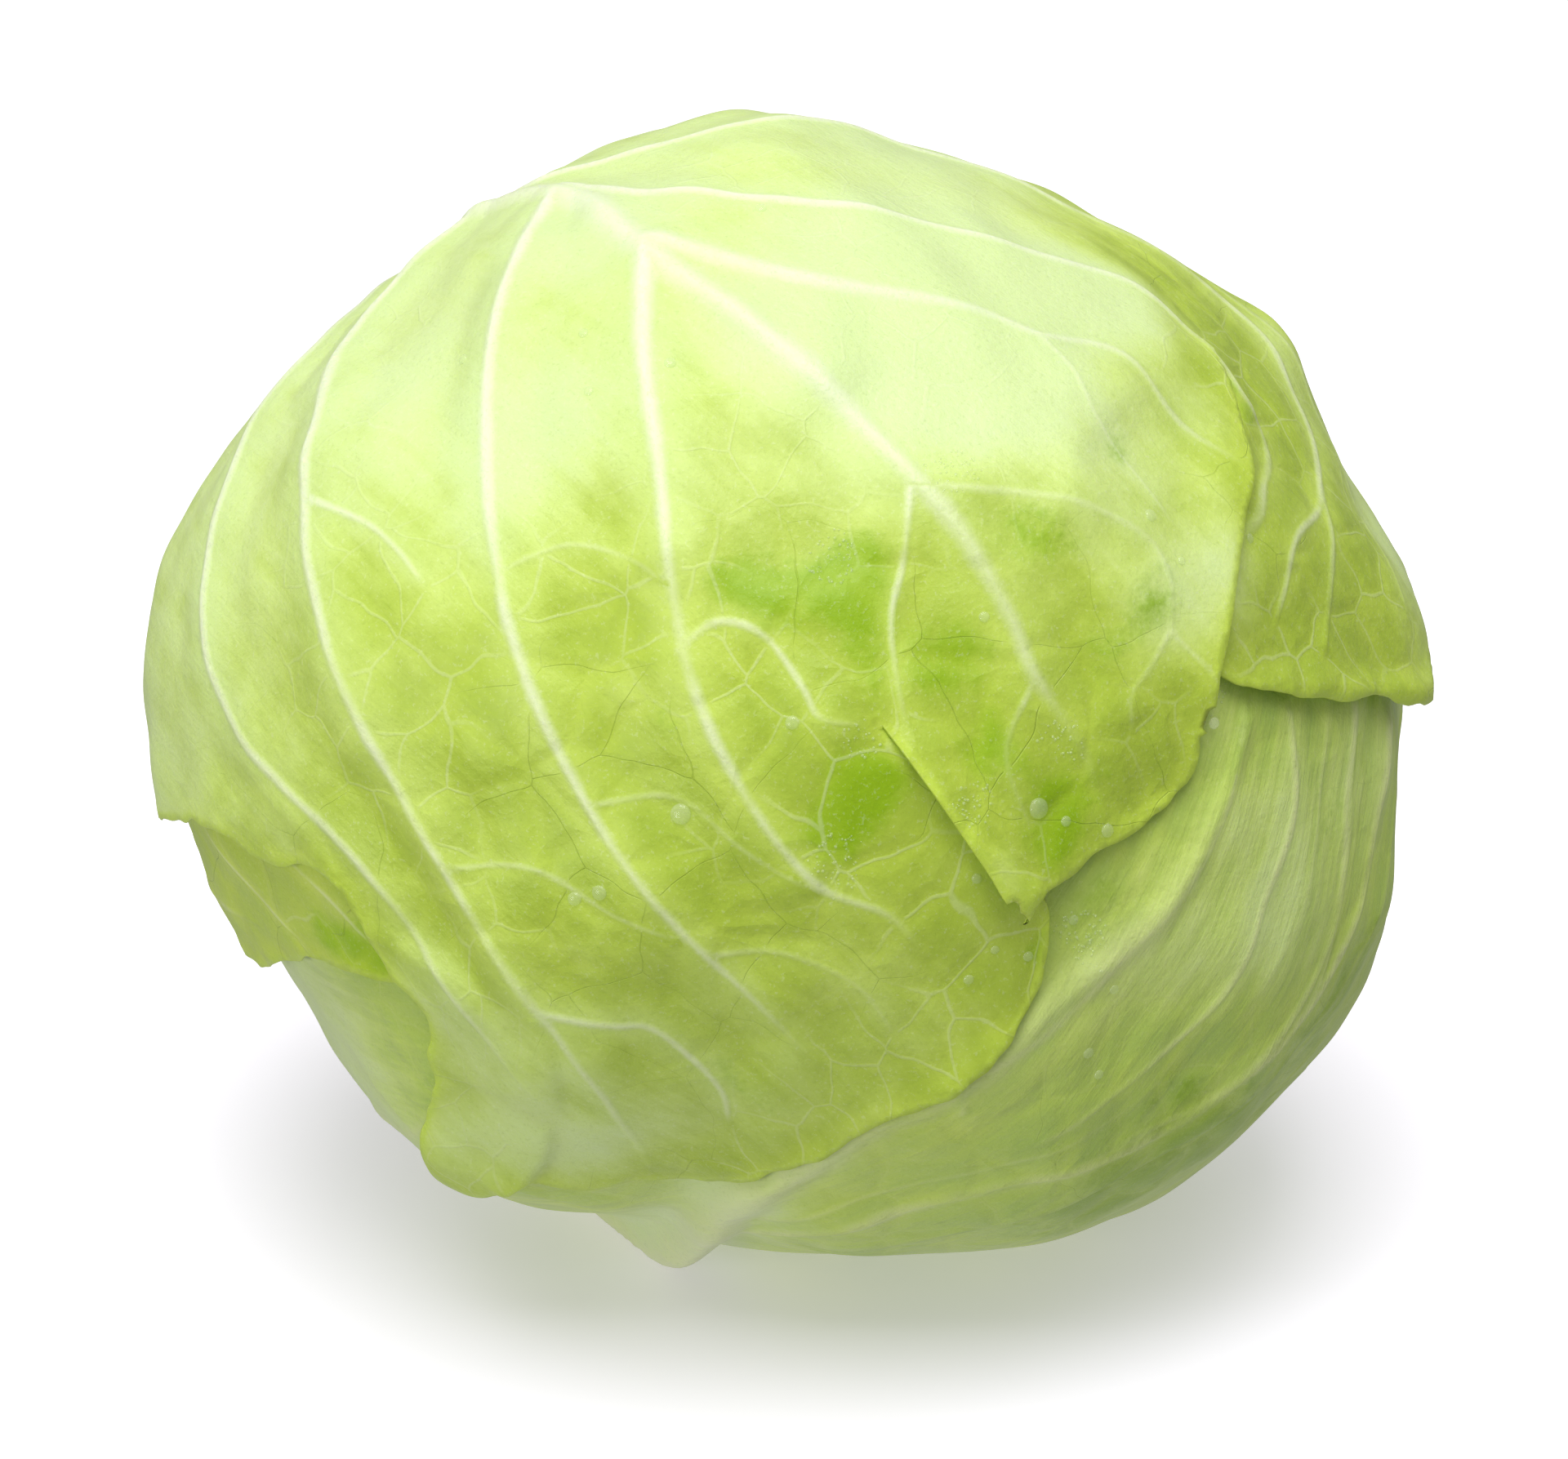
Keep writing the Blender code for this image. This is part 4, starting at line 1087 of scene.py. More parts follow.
@dataclass(frozen=True)
class LeafFinish:
    """A waxy leaf: mottled green, pale veins with soft halos, a fine net of veins and a light rim.

    A scale is that of a noise or a net. A share is how far a layer covers what is under it, and a step
    is where a layer starts and ends, in what it depends on.
    """
    name: str
    colours: LeafColours
    broad_scale: float = 38.0
    mottle_scale: float = 120.0
    grain_scale: float = 900.0
    bloom_scale: float = 1700.0
    streak_scale: float = 26.0
    streak_stretch: float = 0.12
    drift_scale: float = 70.0
    drift: float = 0.09
    net_scale: float = 10.5
    net_step: Pair = (0.034, 0.008)
    net_share: float = 0.7
    hair_scale: float = 6.0
    hair_step: Pair = (0.0066, 0.002)
    quilt_step: Pair = (0.0, 0.30)
    quilt_share: float = 0.14
    light_step: Pair = (-0.15, 1.0)
    pale_step: Pair = (0.1, 1.1)
    patch_step: Pair = (0.22, 0.80)
    patch_share: float = 0.9
    halo_step: Pair = (6.0, 0.0)
    halo_share: float = 0.6
    core_step: Pair = (1.25, 0.0)
    margin_step: Pair = (4.0, 0.0)
    margin_share: float = 0.25
    rim_step: Pair = (1.5, 0.3)
    rim_share: float = 0.75
    bloom_share: float = 0.16
    pore_share: float = 0.14
    fresh_blue: float = 0.25
    bump: float = 0.8
    roughness: float = 0.42
    glow: float = 0.18
    glow_reach: Triple = (1.0, 1.2, 0.35)
    glow_depth: float = 0.0016
    coat: float = 0.06

    def material(self) -> bpy.types.Material:
        """Build the material, from the blade's mottled colour up to the bloom on the wax."""
        c, b = self.colours, NodeBoard(self.name)
        place, chart = b.place(), b.add("ShaderNodeUVMap", {"uv_map": "chart"})
        vein, strength, pale, deep, edge = map(b.attribute, ("vein", "vein_strength", "pale", "deep", "edge"))
        fresh = (c.light[0], c.light[1], c.light[2] * self.fresh_blue)
        young = 1.0 - pale.step(0.0, 0.6)

        mottle = b.noise(place, self.mottle_scale, 3.0, 0.6)
        grain = b.noise(place, self.grain_scale, 2.0, 0.6)
        along = b.add("ShaderNodeMapping", {}, {"Vector": chart, "Scale": (1.0, self.streak_stretch, 1.0)})
        streak = b.noise(along, self.streak_scale, 4.0, 0.62)
        # The pale layer shows the leaf's own pale base and places, and also painted light where spots lighten
        # lit parts or parts in shade.
        light = (pale + (b.noise(place, self.broad_scale, 3.0) - 0.5) * 0.8 + (mottle - 0.5) * 0.7
                 + (streak - 0.5) * 1.6 * c.streaks).step(*self.light_step)
        colour = b.blend(light, c.blade, fresh)
        colour = b.blend((light * 0.6 + pale * 0.5).step(*self.pale_step), colour, c.light)
        ragged = (mottle - 0.5) * 1.3 + (grain - 0.5) * 0.4 + (streak - 0.5) * 0.5
        # The deep patches are mostly the leaf's own dark green, and partly painted shade in creases, pockets
        # and beyond folds.
        patch = (deep + ragged * deep.step(0.0, 0.35)).step(*self.patch_step) * self.patch_share
        colour = b.blend(patch, colour, c.deep)

        away = vein.step(0.9, 1.9)
        netted = b.noise(place, 32.0, 1.0).step(0.44, 0.60)
        warped = self._warp(b, place, chart)
        cells = self._cells(b, warped, self.net_scale)
        net = cells.step(*self.net_step) * netted * away * c.network * self.net_share
        hair = self._cells(b, warped, self.hair_scale).step(*self.hair_step)
        hair = hair * (1.0 - netted) * away * c.network
        quilt = cells.step(*self.quilt_step)
        colour = b.blend(net * (0.10 + young * 0.20), colour, c.vein)
        colour = b.blend(hair * (0.03 + young * 0.25), colour, c.line)
        colour = b.blend((1.0 - quilt) * young * self.quilt_share, colour, fresh)

        wobble = vein + (grain - 0.5) * 0.7 + (mottle - 0.5) * 0.8
        halo = wobble.step(*self.halo_step) * strength * self.halo_share
        worn = 1.0 - b.noise(place, 60.0, 2.0).step(0.40, 0.62) * young * 0.6
        core = wobble.step(*self.core_step) * strength * (0.45 + grain * 0.7) * worn
        colour = b.blend(halo * young, colour, fresh)
        colour = b.blend(halo * (1.0 - young * 0.7), colour, c.light)
        colour = b.blend(core, colour, c.vein)
        colour = b.blend(edge.step(*self.margin_step) * self.margin_share, colour, fresh)
        colour = b.blend(edge.step(*self.rim_step) * self.rim_share, colour, c.rim)
        bloom = b.noise(place, self.bloom_scale, 2.0, 0.7)
        colour = b.blend(bloom.step(0.56, 0.74) * self.bloom_share, colour, c.vein)
        colour = b.blend(bloom.step(0.44, 0.28) * self.pore_share, colour, c.line)

        relief = (bloom * 0.08 + grain * 0.14 + mottle * 0.42 + quilt * young * 0.34 + net * 0.08
                  - hair * young * 0.10 + core * 0.12 + streak * c.streaks * 0.8)
        return b.finish({"Base Color": colour, "Roughness": self.roughness + (mottle - 0.5) * 0.18,
                         "Specular IOR Level": 0.28, "Subsurface Weight": self.glow,
                         "Subsurface Radius": self.glow_reach, "Subsurface Scale": self.glow_depth,
                         "Coat Weight": self.coat, "Coat Roughness": 0.25},
                        self.bump, relief, {"subsurface_method": "RANDOM_WALK"})

    def _warp(self, board: NodeBoard, place: Socket, chart: Socket) -> Socket:
        """Push the chart about a little, so that no net is regular.

        Args:
            board: the material's tree.
            place: the place on the object.
            chart: the place on the leaf's chart.

        Returns:
            The uneven chart.
        """
        drift = board.noise(place, self.drift_scale, 2.0, output="Color")
        drift = board.add("ShaderNodeVectorMath", {"operation": "SUBTRACT"}, {0: drift, 1: (0.5, 0.5, 0.5)})
        return board.add("ShaderNodeVectorMath", {"operation": "MULTIPLY_ADD"},
                         {0: drift, 1: (self.drift, self.drift, 0.0), 2: chart})

    @staticmethod
    def _cells(board: NodeBoard, vector: Socket, scale: float) -> Socket:
        """Distance to the nearest line of a net, in shares of a cell."""
        return board.add("ShaderNodeTexVoronoi", {"feature": "DISTANCE_TO_EDGE", "voronoi_dimensions": "2D"},
                         {"Vector": vector, "Scale": scale}, output="Distance")


@dataclass(frozen=True)
class HeartFinish:
    """The tight inner leaves: pale, waxy and mottled."""
    green: Colour = (0.44, 0.60, 0.18)
    pale: Colour = (0.66, 0.78, 0.36)
    mottle_scale: float = 90.0
    bump: float = 0.4

    def material(self) -> bpy.types.Material:
        """Build the material."""
        b = NodeBoard("pale_inner_leaf")
        mottle = b.noise(b.place(), self.mottle_scale, 4.0, 0.6)
        return b.finish({"Base Color": b.blend(mottle.step(0.3, 0.7), self.green, self.pale),
                         "Roughness": 0.5 + (mottle - 0.5) * 0.2}, self.bump, mottle)


@dataclass(frozen=True)
class StalkFinish:
    """The cut stalk: a moist pale pith inside a fibrous ring and a greener skin."""
    pith: Colour = (0.74, 0.76, 0.48)
    pale_pith: Colour = (0.86, 0.85, 0.64)
    fibre: Colour = (0.52, 0.50, 0.24)
    stain: Colour = (0.50, 0.36, 0.16)
    skin: Colour = (0.60, 0.68, 0.32)
    fibre_share: float = 0.6
    stain_share: float = 0.35
    bump: float = 0.6

    def material(self) -> bpy.types.Material:
        """Build the material."""
        b = NodeBoard("cut_stalk")
        place, ring = b.place(), b.attribute("ring")
        mottle, grain = b.noise(place, 260.0, 4.0, 0.65), b.noise(place, 1400.0, 2.0)
        colour = b.blend(mottle.step(0.3, 0.75), self.pith, self.pale_pith)
        colour = b.blend(ring * self.fibre_share, colour, self.fibre)
        colour = b.blend(mottle.step(0.62, 0.8) * self.stain_share, colour, self.stain)
        colour = b.blend(b.attribute("skin"), colour, self.skin)
        return b.finish({"Base Color": colour, "Roughness": 0.55 - ring * 0.1, "Subsurface Weight": 0.15,
                         "Subsurface Scale": 0.002}, self.bump, mottle * 0.7 + grain * 0.3 - ring * 0.3)


@dataclass(frozen=True)
class WaterFinish:
    """Clear water, lit green by the leaf under it."""
    name: str
    tint: Colour = (0.90, 1.0, 0.62)
    cover: float = 0.22

    def material(self) -> bpy.types.Material:
        """Build the material."""
        return NodeBoard(self.name).finish(
            {"Base Color": (*self.tint, 1.0), "Roughness": 0.04, "IOR": 1.33, "Specular IOR Level": 1.0,
             "Alpha": self.cover, "Coat Weight": 1.0, "Coat Roughness": 0.02})


# ---------------- building the leaves

def into_scene(name: str, data: bpy.types.ID) -> bpy.types.Object:
    """Put an object in the scene.

    Args:
        name: its name.
        data: its mesh, light or camera.

    Returns:
        The object.
    """
    item = bpy.data.objects.new(name, data)
    bpy.context.scene.collection.objects.link(item)
    return item


def new_mesh(name: str, points: Array, faces: Any, material: bpy.types.Material) -> bpy.types.Object:
    """A smooth mesh object in the scene.

    Args:
        name: the piece's name.
        points: its points in mm.
        faces: its faces as lists of point numbers.
        material: its material.

    Returns:
        The object.
    """
    mesh = bpy.data.meshes.new(name)
    mesh.from_pydata((np.asarray(points) * MM).tolist(), [], [list(map(int, face)) for face in faces])
    mesh.materials.append(material)
    mesh.shade_smooth()
    return into_scene(name, mesh)


def carry(item: bpy.types.Object, **layers: Array) -> None:
    """Store numbers or vectors at the points of a piece.

    Args:
        item: the piece.
        layers: the values by name, one to a point.
    """
    for name, values in layers.items():
        kind, key = ("FLOAT", "value") if values.ndim == 1 else ("FLOAT_VECTOR", "vector")
        layer = item.data.attributes.new(name, kind, "POINT")
        layer.data.foreach_set(key, values.astype(np.float32).ravel())


@dataclass
class Leaf:
    """One wrapper leaf: its plan with the paths and the outline worked out on the head.

    notch_waves are the share, wavelength and seed of the ripples that notch the edge. A vein's ridge
    and a fold fade out in the last of so many parts of their way.
    """
    plan: LeafPlan
    coarse: float = 3.0
    notch_waves: tuple[tuple[float, float, int], ...] = ((1.0, 11.0, 41), (0.45, 4.5, 42))
    notch_start: float = 1.5
    notch_growth: float = 6.0
    clear_reach: float = 9.0
    ridge_reach: float = 9.0
    ridge_parts: float = 6.0
    fold_parts: float = 7.0
    lip_width: float = 7.5
    tuck_start: float = 0.4

    def __post_init__(self) -> None:
        """Work out the paths and the edge."""
        plan = self.plan
        self.veins, self.folds, self.slits = (
            [HeadPath(plan.chart.directions(smooth_curve(item.path))) for item in items]
            for items in (plan.veins, plan.folds, plan.slits))
        self.rim = self.outline(self.coarse)
        self.rim_path = HeadPath(np.concatenate([self.rim, self.rim[:1]]))
        self.rim_flat = plan.chart.flatten(self.rim)

    def outline(self, spacing: float) -> Array:
        """The leaf's edge, with its notches.

        Args:
            spacing: how far apart its points are, in mm.

        Returns:
            The directions along the edge, anticlockwise from outside.
        """
        plan, radius, hole = self.plan, HEAD.mean_radius, HEAD.stalk_hole
        start, end = plan.base_left[-1][0], plan.base_right[0][0]
        turns = np.linspace(start, end, int(max(9, 2 * hole * math.pi / 3 / spacing)))
        arc = [HEAD.from_stalk(plan.chart.bearing + turn, hole) for turn in turns]
        right, left = ([HEAD.from_stalk(plan.chart.bearing + turn, far) for turn, far in base]
                       for base in (plan.base_right, plan.base_left))
        edge = np.array(right + list(plan.chart.directions(plan.blade)) + left)
        free = resample(smooth_curve(edge * radius), spacing)
        line = unit(np.concatenate([np.array(arc), free / radius]))
        clear = np.full(len(line), self.clear_reach)
        for path in self.slits:
            clear = np.minimum(clear, path.near(line)[0])
        clear = np.minimum(clear, np.linalg.norm(line - HEAD.stalk_axes[0], axis=1) * radius - hole)
        waves = sum(share * Ripple(wavelength, seed).at(line * radius)
                    for share, wavelength, seed in self.notch_waves)
        notch = plan.notch * waves * ease((clear - self.notch_start) / self.notch_growth)
        outwards = unit(np.cross(np.roll(line, -1, axis=0) - np.roll(line, 1, axis=0), line))
        return unit(line + outwards * (notch / radius)[:, None])

    def edge_distance(self, directions: Array) -> Array:
        """Distance in mm to the edge, negative on the leaf."""
        distance, _, _ = self.rim_path.near(directions)
        return np.where(inside(self.rim_flat, self.plan.chart.flatten(directions)), -distance, distance)

    def spots(self, chosen: tuple[Spot, ...], directions: Array) -> Array:
        """Add up round places, such as lifts or patches of colour.

        Args:
            chosen: the spots.
            directions: the places to add them up at.

        Returns:
            The sum at each place.
        """
        total = np.zeros(len(directions))
        for spot in chosen:
            away = np.linalg.norm(directions - self.plan.chart.directions((spot.u, spot.v)), axis=1)
            total += spot.amount * bell(away * HEAD.mean_radius, spot.size)
        return total

    def vein_height(self, directions: Array, bold_only: bool = False) -> Array:
        """Height of the veins and of the soft ridges round them.

        Args:
            directions: the places.
            bold_only: whether to leave out all but the bold veins.

        Returns:
            The heights in mm.
        """
        height = np.zeros(len(directions))
        ridge = np.zeros(len(directions))
        for vein, path in zip(self.plan.veins, self.veins):
            if bold_only and not vein.bold:
                continue
            distance, along, _ = path.near(directions)
            height = np.maximum(height, vein.rises(along) * (1.0 - ease(distance / vein.widths(along))))
            ends = ease((1.0 - along) * self.ridge_parts)
            ridge = np.maximum(ridge, vein.ridge * (1.0 - ease(distance / self.ridge_reach)) * ends)
        return height + ridge

    def fold_height(self, directions: Array) -> Array:
        """Height of the soft steps.

        Args:
            directions: the places.

        Returns:
            The heights in mm.
        """
        height = np.zeros(len(directions))
        for fold, path in zip(self.plan.folds, self.folds):
            distance, along, side = path.near(directions)
            width = np.where(side * fold.side > 0, fold.width, fold.drop)
            ends = ease(along * self.fold_parts) * ease((1.0 - along) * self.fold_parts)
            height += taper(fold.height, along) * bell(distance, width) * ends
        return height

    def slit_height(self, directions: Array) -> Array:
        """Height of the torn edges that lie on top.

        Args:
            directions: the places.

        Returns:
            The heights in mm.
        """
        height = np.zeros(len(directions))
        for slit, path in zip(self.plan.slits, self.slits):
            distance, along, side = path.near(directions)
            above = taper(slit.lift, along) * bell(distance, self.lip_width)
            height = np.maximum(height, np.where(side * slit.over > 0, above, 0.0))
        return height

    def tuck(self, directions: Array) -> Array:
        """Slide the tucked side of each slit under the other side.

        Args:
            directions: the places.

        Returns:
            Where they slide to.
        """
        moved = directions.copy()
        for slit, path in zip(self.plan.slits, self.slits):
            distance, along, side = path.near(directions)
            share = slit.tuck * ease(along / self.tuck_start) * bell(distance, slit.spread)
            share = np.where(side * slit.over < 0, share, 0.0)
            ends = path.path[[0, -1]]
            across = unit(np.cross(directions, ends[1] - ends[0])) * slit.over
            moved += across * (share / HEAD.mean_radius)[:, None]
        return unit(moved)


@dataclass
class Wrapping:
    """The stack of wrapper leaves on the ball of inner leaves, from the inside out.

    press is the share of a bold vein's height that shows through the leaves over it. Waves grow over
    the calm width from under an outer leaf, and the fringe is the finer waving of the edge. The edge is
    edge_share as thick as the leaf. The rows lie beside veins and folds, in half widths. The margins
    and the closest points are in shares of the spacing.
    """
    plans: tuple[LeafPlan, ...]
    press: float = 0.30
    calm: float = 10.0
    wave_seed: int = 21
    wave_limit: float = 1.6
    fringe_seed: int = 31
    fringe_share: float = 0.3
    fringe_height: float = 0.35
    fringe_reach: float = 3.5
    vein_start: float = -2.0
    vein_growth: float = 5.0
    edge_share: float = 0.55
    edge_gain: float = 0.45
    edge_reach: float = 4.0
    edge_round: float = 0.18
    facing_step: float = 0.4
    vein_rows: tuple[float, ...] = (-1.0, -0.5, 0.0, 0.5, 1.0)
    fold_rows: tuple[float, ...] = (-1.5, -0.75, 0.0, 0.75)
    margin: float = 0.6
    closest: float = 0.42
    inner_margin: float = 0.7
    hidden_spacing: float = 5.0
    hidden_depth: float = 12.0
    vein_reach: float = 9.0
    vein_parts: float = 8.0
    pale_share: float = 0.66
    edge_limit: float = 12.0
    chart_unit: float = 100.0

    def __post_init__(self) -> None:
        """Work out all the leaves, and keep the solids' box in mm."""
        self.leaves = [Leaf(plan) for plan in self.plans]
        self.low, self.high = (np.array(corner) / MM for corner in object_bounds())

    def base(self, directions: Array, distances: list[Array]) -> Array:
        """Radius that the leaves are stacked on, flattened where the stack rests on the surface.

        Args:
            directions: the places.
            distances: how far they are from each leaf's edge.

        Returns:
            The radii in mm.
        """
        stack = sum(HEAD.cover(distance) for distance in distances) * (HEAD.leaf_thickness + HEAD.leaf_gap)
        free = HEAD.surface_radius(directions) - HEAD.stack_allowance + HEAD.relief(directions)
        resting = HEAD.floor_radius(directions) - stack
        share = np.clip(0.5 + 0.5 * (resting - free) / HEAD.floor_blend, 0.0, 1.0)
        return resting + (free - resting) * share - HEAD.floor_blend * share * (1.0 - share)

    def open_share(self, level: int, distances: list[Array], start: float, width: float) -> Array:
        """How open a leaf lies: 1 where no outer leaf covers it and 0 where one does.

        Args:
            level: the leaf's place in the stack.
            distances: how far the places are from each leaf's edge.
            start: how far from an outer leaf's edge the slope between starts.
            width: how wide the slope is.

        Returns:
            The share at each place.
        """
        share = np.ones(len(distances[0]))
        for outer in distances[level + 1:]:
            share = np.minimum(share, ease((outer - start) / width))
        return share

    def radii(self, level: int, directions: Array) -> tuple[Array, Array]:
        """Inner and outer radius of a leaf, which lies on all the leaves inside it.

        Args:
            level: the leaf's place in the stack.
            directions: the places.

        Returns:
            The inner radius and the outer radius, in mm.
        """
        distances = [leaf.edge_distance(directions) for leaf in self.leaves]
        leaf, own = self.leaves[level], distances[level]
        plan, places = leaf.plan, directions * HEAD.mean_radius
        inner = self.base(directions, distances) + HEAD.leaf_gap
        for under, distance in zip(self.leaves[:level], distances):
            inner += HEAD.cover(distance) * (HEAD.leaf_thickness + HEAD.leaf_gap)
            inner += under.spots(under.plan.lifts, directions)
            inner += under.vein_height(directions, bold_only=True) * self.press
        broad = (plan.wave_height, plan.wave_length, plan.wave_reach, self.wave_seed)
        fringe_length = plan.wave_length * self.fringe_share
        fringe = (self.fringe_height, fringe_length, self.fringe_reach, self.fringe_seed)
        waves = np.zeros(len(places))
        for height, length, reach, seed in (broad, fringe):
            ripple = 0.5 + 0.5 * Ripple(length, seed + level).at(places)
            waves += height * np.clip(ripple, 0.0, self.wave_limit) * (1.0 - ease(-own / reach))
        inner += leaf.spots(plan.lifts, directions) + leaf.slit_height(directions)
        inner += (waves + leaf.fold_height(directions)) * self.open_share(level, distances, 0.0, self.calm)
        seen = self.open_share(level, distances, self.vein_start, self.vein_growth)
        raised = leaf.vein_height(directions) * seen
        raised = np.maximum(raised, leaf.vein_height(directions, bold_only=True) * self.press)
        full, rest = HEAD.leaf_thickness, HEAD.floor_radius(directions)
        thick = full * (self.edge_share + self.edge_gain * ease(-own / self.edge_reach))
        return np.minimum(inner + full - thick, rest - thick), np.minimum(inner + full + raised, rest)

    def place(self, level: int, directions: Array, radii: Array) -> Array:
        """Points at radii along directions, with the slits tucked, kept inside the solids' box."""
        points = HEAD.centre + self.leaves[level].tuck(directions) * radii[:, None]
        return np.clip(points, self.low, self.high)

    def skin(self, level: int, points: Any) -> tuple[Array, Array]:
        """Places on a leaf's outer face.

        Args:
            level: the leaf's place in the stack.
            points: their u and v on its chart.

        Returns:
            The places in mm, and the outward directions there.
        """
        chart, step = self.leaves[level].plan.chart, self.facing_step
        points = np.asarray(points, float).reshape(-1, 2)
        found = []
        for shift in ((0.0, 0.0), (step, 0.0), (-step, 0.0), (0.0, step), (0.0, -step)):
            directions = chart.directions(points + shift)
            found.append(self.place(level, directions, self.radii(level, directions)[1]))
        return found[0], unit(np.cross(found[1] - found[2], found[3] - found[4]))

    def spread(self, level: int) -> Array:
        """Points inside a leaf: rows along its veins and folds, with an even spread between.

        Where an outer leaf hides it, the spread is coarse.

        Args:
            level: the leaf's place in the stack.

        Returns:
            The directions.
        """
        leaf, spacing = self.leaves[level], self.leaves[level].plan.spacing
        rows = [self._rows(path.path, vein.half_width, spacing, self.vein_rows)
                for vein, path in zip(leaf.plan.veins, leaf.veins)]
        rows += [self._rows(path.path, (fold.drop,), spacing, self.fold_rows)
                 for fold, path in zip(leaf.plan.folds, leaf.folds)]
        rows = self._within(leaf, unit(np.concatenate(rows)), self.margin * spacing)
        rows = self._thin(rows, self.closest * spacing)
        even = self._within(leaf, even_directions(spacing, HEAD.mean_radius), self.margin * spacing)
        tree = search_tree(rows)
        away = np.array([tree.find(point)[2] for point in even]) * HEAD.mean_radius
        points = np.concatenate([rows, even[away > self.margin * spacing]])
        cover = np.full(len(points), np.inf)
        for outer in self.leaves[level + 1:]:
            cover = np.minimum(cover, outer.edge_distance(points))
        step = max(1, int((self.hidden_spacing / spacing) ** 2))
        return points[(cover >= -self.hidden_depth) | (np.arange(len(points)) % step == 0)]

    @staticmethod
    def _within(leaf: Leaf, directions: Array, margin: float) -> Array:
        """The directions that lie on a leaf, further than a margin in mm from its edge."""
        return directions[leaf.edge_distance(directions) < -margin]

    @staticmethod
    def _rows(path: Array, half_width: tuple[float, ...], spacing: float, shares: tuple[float, ...]) -> Array:
        """Rows of points along a path.

        Args:
            path: its directions.
            half_width: its half width in mm, at even steps along it.
            spacing: how far apart the points of a row are, in mm.
            shares: where the rows lie, in half widths to the side.

        Returns:
            The directions.
        """
        crest = resample(path * HEAD.mean_radius, spacing) / HEAD.mean_radius
        sideways = unit(np.cross(unit(crest), np.gradient(crest, axis=0)))
        widths = taper(half_width, np.linspace(0.0, 1.0, len(crest))) / HEAD.mean_radius
        return np.concatenate([unit(crest + sideways * (share * widths)[:, None]) for share in shares])

    @staticmethod
    def _thin(points: Array, distance: float) -> Array:
        """Drop each point that comes too close to one kept before it.

        Args:
            points: directions.
            distance: how close is too close, in mm.

        Returns:
            The directions that are kept.
        """
        tree, kept = search_tree(points), np.ones(len(points), bool)
        for index, point in enumerate(points):
            if kept[index]:
                for _, other, _ in tree.find_range(point, distance / HEAD.mean_radius):
                    kept[other] &= other <= index
        return points[kept]

    def sheet(self, level: int, rim: Array, inner: Array) -> tuple[Array, Array]:
        """Triangles over a leaf's outline and the points inside it.

        Args:
            level: the leaf's place in the stack.
            rim: the outline's directions, which come first among the points.
            inner: directions inside it.

        Returns:
            All the directions and the triangles, anticlockwise from outside.
        """
        chart = self.leaves[level].plan.chart
        flat = chart.flatten(np.concatenate([rim, inner]))
        count = len(rim)
        edges = [(i, (i + 1) % count) for i in range(count)]
        points, _, faces, origins, *_ = delaunay_2d_cdt([Vector(p) for p in flat], edges, [], 1, 1e-5)
        order = np.array([origin[0] for origin in origins])
        directions = np.empty((len(flat), 3))
        directions[order] = chart.unflatten(np.array([tuple(p) for p in points]))
        return directions, order[np.array(faces)]

    def build(self, level: int) -> bpy.types.Object:
        """Build one leaf as a closed sheet with a fine outer face, a plain inner face and a round rim.

        Args:
            level: the leaf's place in the stack.

        Returns:
            The leaf's object.
        """
        leaf, plan = self.leaves[level], self.leaves[level].plan
        rim = leaf.outline(plan.spacing)
        over, over_faces = self.sheet(level, rim, self.spread(level))
        even = even_directions(self.hidden_spacing, HEAD.mean_radius)
        even = self._within(leaf, even, self.inner_margin * plan.spacing)
        under, under_faces = self.sheet(level, rim, even)
        top = self.place(level, over, self.radii(level, over)[1])
        bottom = self.place(level, under, self.radii(level, under)[0])
        upper = np.arange(len(rim))
        lower, ring = upper + len(over), upper + len(over) + len(under)
        middle = 0.5 * (top[upper] + bottom[upper])
        way = np.roll(middle, -1, axis=0) - np.roll(middle, 1, axis=0)
        outwards = unit(np.cross(way, top[upper] - HEAD.centre))
        middle = np.clip(middle + outwards * self.edge_round, self.low, self.high)
        faces = [over_faces, under_faces[:, ::-1] + len(over)]
        for corners in ((ring, np.roll(ring, -1), np.roll(upper, -1)), (ring, np.roll(upper, -1), upper),
                        (lower, np.roll(lower, -1), np.roll(ring, -1)), (lower, np.roll(ring, -1), ring)):
            faces.append(np.stack(corners, 1))
        faces = np.concatenate(faces)
        item = new_mesh(plan.name, np.concatenate([top, bottom, middle]), faces,
                        LeafFinish(plan.name, plan.colours).material())
        self._dress(item, leaf, np.concatenate([over, under, rim]))
        log.info("%s: %d triangles", plan.name, len(faces))
        return item

    def _dress(self, item: bpy.types.Object, leaf: Leaf, places: Array) -> None:
        """Store the leaf's chart and the numbers that its finish reads.

        Args:
            item: the leaf's object.
            leaf: the leaf.
            places: the direction of each of the object's points.
        """
        plan = leaf.plan
        reach, strength = np.full(len(places), self.vein_reach), np.zeros(len(places))
        for vein, path in zip(plan.veins, leaf.veins):
            distance, along, _ = path.near(places)
            share = distance / vein.widths(along)
            nearer = share < reach
            reach[nearer] = share[nearer]
            strength[nearer] = (taper(vein.tone.value, along) * ease((1.0 - along) * self.vein_parts))[nearer]
        chart = plan.chart.points(places)
        pale = 1.0 - ease((chart[:, 1] - plan.pale_from) / (plan.pale_to - plan.pale_from))
        # The pale and deep numbers hold painted light and painted shade as well as the leaf's own pale and
        # dark places.
        carry(item, vein=reach, vein_strength=strength,
              pale=self.pale_share * pale + leaf.spots(plan.pale_and_lit_spots, places),
              deep=leaf.spots(plan.deep_and_shaded_spots, places),
              edge=np.clip(-leaf.edge_distance(places), 0.0, self.edge_limit))
        layer = item.data.uv_layers.new(name="chart")
        corners = np.empty(len(item.data.loops), np.int32)
        item.data.loops.foreach_get("vertex_index", corners)
        layer.data.foreach_set("uv", (chart[corners] / self.chart_unit).astype(np.float32).ravel())


# ---------------- the water

